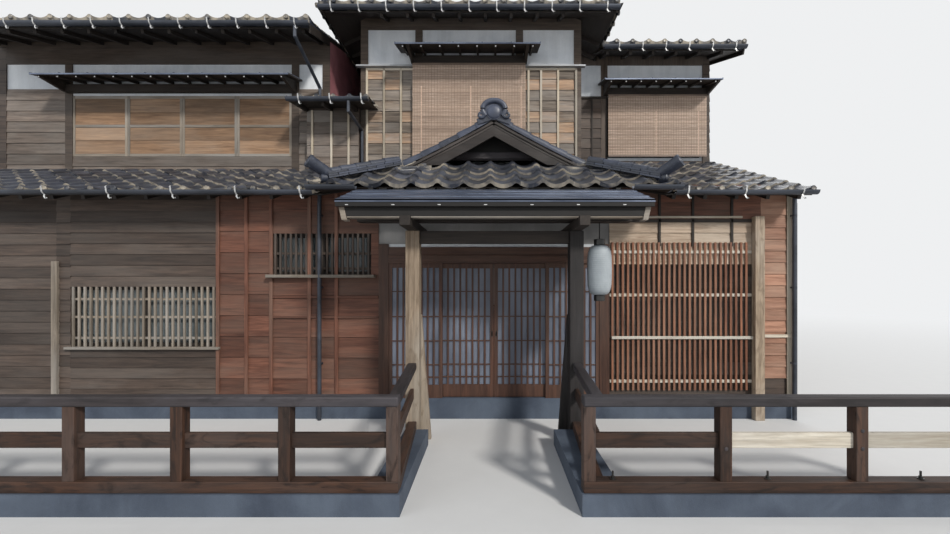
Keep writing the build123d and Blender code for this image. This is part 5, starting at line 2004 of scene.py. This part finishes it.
@dataclass
class Blinds:
    """Reed blinds: half-round reeds side by side, with tying threads and a rail at each end."""

    reed: float = 0.0115
    thread: float = 0.047
    frame_half: float = 0.011
    frames: tuple[tuple[tuple[float, ...], float, float], ...] = (((-1.18, -0.37, 0.45), 3.9, 5.05),
        ((3.01, 3.80), 4.2, 5.0))

    def build(self) -> None:
        """Each blind is a row of half rounds carried across it, paler where a window frame shines through."""
        patch = Patchwork("blind_reeds", 101)
        threads = Patchwork("blind_threads", 103)
        for (x_low, x_high, back, z_low, z_high), frames in zip(self.sheets(), self.frames):
            count = int((z_high - z_low) / self.reed)
            step = (z_high - z_low) / count
            angle = np.linspace(0, np.pi, 5)
            z = z_low + (np.arange(count)[:, None] + 0.5 - 0.5 * np.cos(angle)) * step
            y = back - 0.004 - 0.5 * step * np.sin(angle) + np.zeros_like(z)
            places, bottom, top = frames
            edges = np.array([x_low, *[p + side * self.frame_half for p in places for side in (-1, -0.99,
                0.99, 1)], x_high])
            bright = np.array([0, *[0, 1, 1, 0] * len(places), 0], float)
            rows = np.stack([join(x, y, z) for x in edges], 1)
            faces = grid_faces(len(edges), 5)[None] + 5 * len(edges) * np.arange(count)[:, None, None]
            lit = ((z.mean(1) > bottom) & (z.mean(1) < top))[:, None] * bright
            tone = np.maximum(0.75 * patch.random.random(count)[:, None], lit * 1.0)
            patch.add(rows, faces, np.repeat(tone, 5))
            patch.boxes((x_low, back - 0.004, z_low), (x_high, back - 0.001, z_high))
            uprights(threads, list(np.arange(x_low + 0.03, x_high, self.thread)), back - 0.0085, z_low,
                z_high, 0.0035, 0.0028)
            for z_rail in (z_low, z_high - 0.03):
                threads.boxes((x_low, back - 0.02, z_rail), (x_high, back - 0.004, z_rail + 0.03))
        patch.build(BLIND, "reed_blinds", smooth=60)
        threads.build(THREAD)

    def sheets(self) -> list[tuple[float, float, float, float, float]]:
        """Left, right, back, bottom and top of each blind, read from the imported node's two sheets.

        Returns:
            One row per blind.
        """
        points = read(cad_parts["reed_blinds"].data.vertices, "co") - ORIGIN
        split = (points[:, 0].min() + points[:, 0].max()) / 2
        return [(part[:, 0].min(), part[:, 0].max(), part[:, 1].max(), part[:, 2].min(), part[:, 2].max())
            for part in (points[points[:, 0] < split], points[points[:, 0] >= split])]


PENTS = ((-1.525, 0.725, 0.865, 5.635), (1.95, 4.02, 1.775, 5.525), (-7.13, -3.15, 0.865, 5.165))


@dataclass
class WindowPents:
    """Rafters, nails and seams of the sheet-metal pents over the upper windows."""

    pitch: float = 0.28
    slope: float = 0.25
    reach: float = 0.5
    sheet: float = 0.024

    def build(self) -> None:
        """Rafters run from the front edge back to the wall, each with a pale nail; seams lie on the sheet."""
        rafters, nails = Patchwork("pent_rafters", 105), Patchwork("pent_nails", 106)
        seams = Patchwork("pent_seams", 107)
        for left, right, front, top in PENTS:
            lip = top - self.slope * self.reach
            count = round((right - left - 0.24) / self.pitch)
            for x in np.linspace(left + 0.12, right - 0.12, count + 1):
                under = self.sheet + 0.021
                rafters.beam((x, front + 0.03, lip + 0.008 - under), (x, front + self.reach,
                    top - under - 0.001), 0.035, 0.038)
                nails.lathe((x, front + 0.03, lip - under + 0.004), FRONT,
                    0.011 * np.array([0, 1.0, 1.0, 0]), (-0.004, -0.004, 0.003, 0.006), 8)
            count = round((right - left) / 0.45)
            for x in np.linspace(left + 0.008, right - 0.008, count + 1):
                seams.beam((x, front + 0.002, lip + 0.003), (x, front + self.reach - 0.01, top + 0.001),
                    0.016, 0.014)
        rafters.build(DARK_TIMBER, bevel=0.002)
        nails.build(HOOK, smooth=60)
        seams.build(EAVE_METAL, bevel=0.002)


@dataclass
class Fittings:
    """The lantern, the porch's metal eave, gutter hooks, bolts, clips and door pulls."""

    hook_pitch: float = 0.423
    strap: float = 0.018
    gutter: float = 0.0555
    plate_start: float = -1.517
    plate_pitch: float = 0.474
    bolt_places: Triple = (0.914, 2.128, 3.327)
    plug_places: tuple[tuple[float, tuple[float, ...]], ...] = ((1.777, (0.512,)), (2.83, (0.512, 0.65)))
    pull: Triple = (0.011, 0.048, 1.125)
    pipe: float = 0.0285
    pipe_axis: float = -0.056
    pipe_places: tuple[float, float] = (3.968, -2.304)
    clip_heights: Triple = (0.75, 1.75, 2.7)

    def build(self) -> None:
        """Builds the small fittings."""
        self.lantern()
        self.eave()
        self.hooks()
        self.bolts()
        self.pulls()
        self.clips()

    def lantern(self) -> None:
        """The paper body: radius = body radius times a flat barrel curve, with a rib every 22 mm."""
        low, high = node_box("lantern_paper")
        centre = (low + high) / 2
        radius = (high[0] - low[0]) / 2
        height = high[2] - low[2]
        turns = 26
        share = np.linspace(0, 1, turns * 4 + 1)
        swell = (1.0 - np.abs(2.0 * share - 1.0) ** 5.0) ** 0.5
        rib = 0.0020 * np.abs(np.sin(np.pi * turns * share))
        radii = np.maximum(radius * (0.5 + 0.5 * swell - 0.035 * (2.0 * share - 1.0) ** 2) - 0.0045 + rib,
            0.01)
        patch = Patchwork("lantern_body", 111)
        radii = np.concatenate([[0.0], radii, [0.0]])
        depths = np.concatenate([[0.0], share * height, [height]])
        patch.lathe((centre[0], centre[1], low[2]), UP, radii, depths, 32)
        patch.build(PAINTED_SHADE_PAPER, "lantern_paper", smooth=60)
        softened("lantern_fittings", LACQUER, 0.006)

    def eave(self) -> None:
        """The porch's metal eave: four sheets that step down towards the front, over a fascia."""
        low, high = node_box("metal_eave")
        front, back = low[1], high[1]
        steps, thick, fall = 4, 0.03, 0.009
        bottom = low[2] + 0.045
        rise = (high[2] - thick - bottom) / (back - front)
        top: list[tuple[float, float]] = []
        for number in range(steps):
            near = front + (back - front) * number / steps
            far = front + (back - front) * (number + 1) / steps
            top.append((near, bottom + rise * (near - front) + thick))
            top.append((far, bottom + rise * (far - front) + thick - fall))
        outline = np.array([(front, bottom), *top, (back, high[2] - thick)])
        patch = Patchwork("porch_eave_sheets", 121)
        patch.sweep(outline, ((low[0], 0, 0), (high[0], 0, 0)), BACK, UP)
        for number, (near, height) in enumerate(top[::2]):
            patch.boxes((low[0], near - (0.0 if number == 0 else 0.004), height - 0.014),
                (high[0], near + 0.004, height + 0.0015))
        patch.build(EAVE_METAL, "metal_eave", bevel=0.002)
        board = Patchwork("porch_eave_fascia", 122)
        board.boxes((low[0] + 0.004, front + 0.004, low[2]), (high[0] - 0.004, front + 0.024, bottom))
        for side in (-1, 1):
            x = side * (high[0] - 0.016)
            board.beam((x, front + 0.024, bottom - 0.02), (x, back, high[2] - thick - 0.022), 0.024, 0.04)
        # The fascia under the metal eave is darkened as painted shade.
        board.build(PAINTED_SHADOW_TIMBER, bevel=0.002)
        noses = Patchwork("porch_purlin_ends", 124)
        for side in (-1, 1):
            noses.boxes((side * 1.555 - 0.028, -1.296, 2.452), (side * 1.555 + 0.028, -1.184, 2.586), 0,
                (side * 0.03, 0, 0))
        noses.boxes((-1.53, -1.292, 2.476), (1.53, -1.188, 2.4905))
        noses.build(WEATHERED_STRIP, bevel=0.003)
        plates = Patchwork("porch_nail_plates", 123)
        xs = self.plate_start + self.plate_pitch * np.arange(7)
        plates.boxes(join(xs - 0.016, front + 0.001, low[2] + 0.012), join(xs + 0.016, front + 0.005,
            low[2] + 0.021))
        plates.build(HOOK, bevel=0.001)

    def hooks(self) -> None:
        """Pale straps on the gutters: down from the eave, round below, up behind, and a short tail."""
        patch = Patchwork("gutter_hooks", 131)
        block, right, link, pents = map(node_box, ("block_roof", "right_wing_roof", "link_roof",
            "pent_roofs"))
        porch = node_box("porch_side_slopes")[1][0]
        right_z = right[1][2] - UpperRoofs.right_pitch * (right[1][1] - right[0][1]) / 2
        lines = [(low[0] + 0.2, high[0] - 0.2, y, low[2] + UpperRoofs.slab, inward) for low,
            high in (block, node_box("left_wing_roof")) for y, inward in ((low[1], 1), (high[1], -1))]
        lines += [(block[1][0] + 0.25, right[1][0] - 0.2, y, right_z, inward) for y,
            inward in ((right[0][1], 1), (right[1][1], -1))]
        lines.append((link[0][0] + 0.2, link[1][0] - 0.1, link[0][1], link[0][2] + LowerRoofs.link_slab, 1))
        lines += [(start, end, pents[0][1], pents[0][2] + LowerRoofs.slab, 1) for start,
            end in ((pents[0][0] + 0.2, -porch - 0.2), (porch + 0.2, pents[1][0] - 0.2))]
        for number, (x_low, x_high, y, z, inward) in enumerate(lines):
            pitch = self.hook_pitch if number < 7 else 2 * self.hook_pitch
            places = np.linspace(x_low, x_high, 1 + max(1, round((x_high - x_low) / pitch)))
            angle = np.linspace(np.pi * (0.94 if inward > 0 else 1.3), np.pi * 2.0, 12)
            for x in places:
                middle = np.array([x, y - inward * 0.0523, z - 0.05])
                ring = middle + join(0.0, inward * self.gutter * np.cos(angle), self.gutter * np.sin(angle))
                if inward > 0:
                    crook = middle + np.array([[0, -0.05, 0.046], [0, -0.064, 0.034]])
                    ring = np.concatenate([crook, ring])
                self.band(patch, ring)
                tail = middle + np.array([[0.0, -inward * 0.02, -0.054], [0.006, -inward * 0.026, -0.084],
                    [0.022, -inward * 0.026, -0.102], [0.042, -inward * 0.024, -0.096]])
                self.band(patch, tail)
        patch.build(HOOK, smooth=40)

    def band(self, patch: Patchwork, path: Array) -> None:
        """A flat strap carried along a path, its face turned outwards.

        Args:
            patch: The piece it joins.
            path: Points along the strap.
        """
        half = self.strap / 2
        outline = np.array([[-half, -0.0015], [half, -0.0015], [half, 0.0015], [-half, 0.0015]])
        ahead = unit(np.gradient(path, axis=0))
        side = unit(RIGHT - ahead[:, :1] * ahead)
        patch.sweep(outline, path, side, np.cross(ahead, side))

    def bolts(self) -> None:
        """Black bolts that stand on the fence's right sill, and round plugs in its posts."""
        patch = Patchwork("fence_bolts", 133)
        for x in self.bolt_places:
            patch.lathe((x, -2.36, 0.259), UP, (0, 0.024, 0.024, 0.014, 0.014, 0.008, 0.008, 0),
                (0, 0, 0.006, 0.006, 0.022, 0.022, 0.062, 0.064), 12)
        patch.build(LACQUER, smooth=50)
        plugs = Patchwork("fence_plugs", 134)
        for x, heights in self.plug_places:
            for z in heights:
                plugs.lathe((x, -2.4095, z), FRONT, (0, 0.015, 0.015, 0.011, 0), (-0.002, -0.002, 0.003,
                    0.005, 0.005), 12)
        plugs.build(RAIL_WOOD, smooth=50)

    def pulls(self) -> None:
        """Dark oval finger pulls let into the meeting stiles: each rim is an ellipse of height 95 mm."""
        low = node_box("left_door")[0]
        wide, tall, height = self.pull
        turn = np.linspace(0, 2 * np.pi, 24, endpoint=False)
        scale = np.array([0.0, 0.7, 0.8, 1.0, 1.0, 0.0])
        depth = np.array([0.0, 0.0, -0.0018, -0.0018, 0.003, 0.003])
        for body, x in (("left_leaf", -0.027), ("right_leaf", 0.030)):
            rings = join(x + scale[:, None] * wide * np.cos(turn), low[1] + depth[:, None],
                height + scale[:, None] * tall * np.sin(turn))
            patch = Patchwork(f"{body}_pull", 135)
            patch.add(rings, grid_faces(6, 24, wrap=True), 0.3)
            patch.build(LACQUER, body=body, smooth=40)

    def clips(self) -> None:
        """Straps that hold the two straight rainwater pipes to the wall."""
        patch = Patchwork("pipe_clips", 137)
        angle = np.linspace(-np.pi, 0, 10)
        for x in self.pipe_places:
            for z in self.clip_heights:
                ring = join(x + self.pipe * np.cos(angle), self.pipe_axis + self.pipe * np.sin(angle), z)
                path = np.concatenate([[(x - self.pipe, 0.0, z)], ring, [(x + self.pipe, 0.0, z)]])
                ahead = unit(np.gradient(path, axis=0))
                outline = np.array([[-0.011, -0.0012], [0.011, -0.0012], [0.011, 0.0012], [-0.011, 0.0012]])
                patch.sweep(outline, path, UP, np.cross(UP, ahead))
        patch.build(PIPE, smooth=40)


@dataclass
class Fence:
    """The low fence along the street: sills, posts, middle and capping rails, and a return at the path."""

    left: tuple[float, float, int] = (-5.862, 0.835, 7)
    right: tuple[float, float, int] = (0.676, 1.053, 4)
    post: float = 0.095
    face: float = -2.41
    cap_face: float = -2.418
    cap_back: float = -2.307
    rail_face: float = -2.38
    rail_back: float = -2.345
    levels: tuple[float, float, float, float, float, float] = (0.17, 0.259, 0.506, 0.626, 0.835, 0.912)
    gate: float = 0.803
    gate_end: float = -0.93
    gate_lean: float = 0.116

    def build(self) -> None:
        """Builds the dark frame, the grey capping rails and the two pale middle rails."""
        frame_work, caps, cream = (Patchwork(name, seed) for name, seed in (("fence_frame", 141),
            ("fence_caps", 142), ("fence_pale_rails", 143)))
        sill, sill_top, mid, mid_top, cap, cap_top = self.levels
        for first, pitch, count in (self.left, self.right):
            posts = first + pitch * np.arange(count)
            frame_work.boxes(join(posts, self.face, sill_top - 0.01), join(posts + self.post,
                self.face + self.post, cap + 0.01), 2)
            end = posts[-1] + self.post
            frame_work.boxes((first, self.cap_face, sill), (end, self.cap_back, sill_top))
            caps.boxes((first, self.cap_face, cap), (end, self.cap_back, cap_top))
            for number, start in enumerate(posts[:-1]):
                target = cream if first > 0 and number else frame_work
                target.boxes((start + self.post - 0.01, self.rail_face, mid), (start + pitch + 0.01,
                    self.rail_back, mid_top))
        for side in (-1, 1):
            for patch, low, high, width in ((frame_work, sill, sill_top, 0.096), (frame_work, mid, mid_top,
                    0.036), (caps, cap, cap_top, 0.096)):
                level = (low + high) / 2
                patch.beam((side * self.gate, self.cap_back - 0.012, level),
                    (side * (self.gate + 0.001 + self.gate_lean), self.gate_end, level), width, high - low)
        frame_work.build(FENCE_WOOD, "fence", bevel=0.005)
        caps.build(RAIL_WOOD, bevel=0.012)
        cream.build(CREAM_RAIL, bevel=0.005)


@dataclass
class Timbers:
    """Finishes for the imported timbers, walls, doors and pipes that keep their shape."""

    # Of these, the wall over the door, the plain board walls and the concrete parts are darkened as painted
    # shade, and the maroon gable wall is lightened as painted sunlight.
    painted: dict[str, Finish] = field(default_factory=lambda: {"block_front_wall": WALL_PLASTER,
        "left_wing_wall": WALL_PLASTER, "right_wing_wall": WALL_PLASTER, "block_side_walls": WALL_PLASTER,
        "left_party_wall": PAINTED_SHADOW_WALL_BOARDS, "right_end_wall": PAINTED_SHADOW_WALL_BOARDS, "rear_wall": WALL_PLASTER,
        "wall_over_door": PAINTED_SHADOW_PLASTER, "light_strip": WALL_PLASTER, "left_ground_wall": PAINTED_SHADOW_BOARDS,
        "right_ground_wall": PAINTED_SHADOW_BOARDS, "link_wall": PAINTED_SHADOW_BOARDS, "maroon_gable_wall": PAINTED_SUN_MAROON,
        "foundation": PAINTED_SHADOW_CONCRETE, "kerb": PAINTED_SHADOW_CONCRETE, "floors": FLOOR_WOOD, "inner_posts": POST_TIMBER,
        "rainwater_pipes": PIPE, "window_glass": WINDOW_GLASS, "screen_glass": DOOR_GLASS,
        "left_door_glass": DOOR_GLASS, "right_door_glass": DOOR_GLASS, "left_door": LATTICE,
        "right_door": LATTICE, "fixed_screens": LATTICE, "door_sill": PAINTED_SHADOW_CONCRETE})
    # The porch's rafters and gable panel take timber darkened as painted shade.
    worn: dict[str, tuple[Finish, float]] = field(default_factory=lambda: {"porch_posts": (POST_TIMBER,
        0.006), "screen_post": (POST_TIMBER, 0.005), "porch_arms": (DARK_TIMBER, 0.005),
        "porch_beams": (DARK_TIMBER, 0.005), "porch_rafters": (PAINTED_SHADOW_TIMBER, 0.003),
        "street_screen": (SCREEN_WOOD, 0.003), "door_posts": (LATTICE, 0.004), "door_lintel": (LATTICE,
        0.003), "lintel_track": (LATTICE, 0.001), "head_band": (LATTICE, 0.003),
        "gable_boards": (GABLE_TIMBER, 0.004), "gable_panel": (PAINTED_SHADOW_TIMBER, 0.004),
        "rain_shutters": (BOARDS, 0.003), "window_sashes": (DARK_TIMBER, 0.002),
        "upper_face_posts": (FACE_TIMBER, 0.003), "window_roofs": (DARK_TIMBER, 0.002)})
    rails: tuple[tuple[float, float], ...] = ((0.483, 0.523), (1.63, 1.67), (2.203, 2.243))

    def regions(self) -> dict[str, tuple[Region, ...]]:
        """Boxes in which a node's faces get a second finish."""
        sheets = [Region((a - 0.01, front + 0.01, top - 0.0705), (b + 0.01, front + 0.51, top + 0.01),
            EAVE_METAL) for a, b, front, top in PENTS]
        fronts = [Region((a - 0.01, front - 0.01, top - 0.16), (b + 0.01, front + 0.01, top + 0.01),
            EAVE_METAL) for a, b, front, top in PENTS]
        drips = [Region((-2.3, 1.2, 5.36), (1.6, 1.38, 5.40), LEDGE_METAL)]
        pale = [Region((1.5, -0.1, low - 0.004), (3.5, 0.1, high + 0.004),
            replace(CREAM_RAIL, grain=Grain.ALONG_X)) for low, high in self.rails]
        return {"window_roofs": (*sheets, *fronts, *drips), "street_screen": tuple(pale),
            "screen_post": (Region((1.5, -0.2, 1.06), (3.425, 0.1, 1.11),
            replace(CREAM_RAIL, grain=Grain.ALONG_X)),),
            "gable_panel": (Region((-1, 0, 3.5), (1, 0.40, 3.70), RAIL_WOOD),),
            # The right porch post gets the post timber darkened as painted shade.
            "porch_posts": (Region((0, -2, 0), (2, 1, 3), PAINTED_SHADOW_POST),),
            # The porch's front beam takes timber darkened as painted shade.
            "porch_beams": (Region((-2, -1.4, 2.4), (2, -1.1, 2.7), PAINTED_SHADOW_TIMBER),)}

    def build(self) -> None:
        """Paints the plain nodes and wears the edges of the timbers."""
        for node, finish in self.painted.items():
            paint(node, replace(finish, grain=Grain.ALONG_X) if finish.grain is Grain.OWN else finish)
        regions = self.regions()
        for node, (finish, width) in self.worn.items():
            softened(node, replace(finish, grain=Grain.OWN), width, regions=regions.get(node, ()))


@dataclass
class Studio:
    """Pale floor, soft light and the camera at the photograph's place."""

    eye: Triple = (-0.04, -5.73, 1.77)
    focal: float = 430.0
    width: float = 950.0
    vanishing: tuple[float, float] = (491.0, 286.0)
    height: float = 534.0
    sensor: float = 36.0
    backdrop: Triple = (0.86, 0.87, 0.88)

    def build(self) -> None:
        """Sets up the floor, the lamps, the world and the camera."""
        self.floor()
        self.lamps()
        self.camera()

    def floor(self) -> None:
        """A wide pale floor at street level, which fades far away into the background's colour.

        The fade is a smooth step of the distance from the house, from 9 m to 30 m, for seen rays alone.
        """
        size, near, far_off = 400.0, 9.0, 30.0
        mesh = bpy.data.meshes.new("floor")
        mesh.from_pydata([(-size, -size, 0), (size, -size, 0), (size, size, 0), (-size, size, 0)], [],
            [(0, 1, 2, 3)])
        piece = placed("floor", mesh)
        sheet = NodeSheet("studio_floor")
        grain = sheet.noise(sheet.coords(Grain.ALONG_X, 1.0), 5.0)
        tone = sheet.ramp(grain, (0.0, grey(0.66)), (1.0, (0.70, 0.70, 0.695)))
        piece.data.materials.append(sheet.finish(tone, 0.95, None, 0.0))
        far = sheet.node("ShaderNodeVectorMath", operation="LENGTH")
        sheet.link(sheet.node("ShaderNodeTexCoord").outputs["Object"], far.inputs[0])
        fade = sheet.node("ShaderNodeMapRange", interpolation_type="SMOOTHSTEP", From_Min=near,
            From_Max=far_off)
        sheet.link(far.outputs["Value"], fade.inputs["Value"])
        share = sheet.maths("MULTIPLY", fade.outputs["Result"], self.seen(sheet.tree))
        glow = sheet.node("ShaderNodeEmission", Color=(*self.backdrop, 1.0), Strength=1.0)
        mixed = sheet.node("ShaderNodeMixShader")
        sheet.link(share, mixed.inputs[0])
        sheet.link(sheet.shader.outputs["BSDF"], mixed.inputs[1])
        sheet.link(glow.outputs["Emission"], mixed.inputs[2])
        sheet.link(mixed.outputs["Shader"], sheet.tree.nodes["Material Output"].inputs["Surface"])

    def seen(self, tree: bpy.types.NodeTree) -> Socket:
        """One for a ray from the camera, a mirror or through glass, and nothing for the rest.

        Args:
            tree: The node tree that gets the nodes.

        Returns:
            The value socket.
        """
        paths = tree.nodes.new("ShaderNodeLightPath")
        value = paths.outputs["Is Camera Ray"]
        for name in ("Is Glossy Ray", "Is Transmission Ray"):
            either = tree.nodes.new("ShaderNodeMath")
            either.operation = "MAXIMUM"
            tree.links.new(value, either.inputs[0])
            tree.links.new(paths.outputs[name], either.inputs[1])
            value = either.outputs["Value"]
        return value

    def lamps(self) -> None:
        """A wide soft key from the right front, a weak fill from the left, and an even pale world."""
        for name, azimuth, height, strength, spread, colour in (("key", 36.0, 34.0, 2.8, 8.0,
                (1.0, 0.965, 0.91)), ("fill", -50.0, 25.0, 0.4, 40.0, (0.90, 0.95, 1.0)),
                ("back", 160.0, 45.0, 0.8, 40.0, grey(1.0))):
            lamp = bpy.data.lights.new(name, "SUN")
            lamp.energy = strength
            lamp.angle = math.radians(spread)
            lamp.color = colour
            holder = placed(name, lamp)
            holder.rotation_euler = (math.radians(90.0 - height), 0.0, math.radians(azimuth))
            holder.location = (0.0, 0.0, 12.0)
        world = bpy.data.worlds.new("studio_world")
        world.use_nodes = True
        nodes, links = world.node_tree.nodes, world.node_tree.links
        light, seen = nodes["Background"], nodes.new("ShaderNodeBackground")
        light.inputs["Color"].default_value = (0.86, 0.92, 1.0, 1.0)
        light.inputs["Strength"].default_value = 0.42
        seen.inputs["Color"].default_value = (*self.backdrop, 1.0)
        mixed = nodes.new("ShaderNodeMixShader")
        links.new(self.seen(world.node_tree), mixed.inputs["Fac"])
        links.new(light.outputs["Background"], mixed.inputs[1])
        links.new(seen.outputs["Background"], mixed.inputs[2])
        links.new(mixed.outputs["Shader"], nodes["World Output"].inputs["Surface"])
        bpy.context.scene.world = world

    def camera(self) -> None:
        """A level camera that looks into the house: focal length and shift from the photograph's frame."""
        lens = bpy.data.cameras.new("camera")
        lens.sensor_width = self.sensor
        lens.lens = self.focal / self.width * self.sensor
        lens.shift_x = (self.width / 2 - self.vanishing[0]) / self.width
        lens.shift_y = -(self.height / 2 - self.vanishing[1]) / self.width
        holder = placed("camera", lens)
        holder.location = tuple(np.array(self.eye) + ORIGIN)
        holder.rotation_euler = (math.radians(90.0), 0.0, 0.0)
        bpy.context.scene.camera = holder
        bpy.context.scene.view_settings.view_transform = "Standard"


def main() -> None:
    """Builds the house's parts in order."""
    logging.basicConfig(level=logging.INFO, format="%(name)s %(message)s")
    for part in (Studio(), Timbers(), Fence(), UpperRoofs(), LowerRoofs(), PorchRoof(), UpperFronts(),
            GroundFronts(), BackAndEnds(), Blinds(), WindowPents(), Fittings()):
        part.build()
        LOG.info("%s done", type(part).__name__)
    ridges = Ridges()
    ridges.porch()
    ridges.upper()


if __name__ == "__main__":
    main()
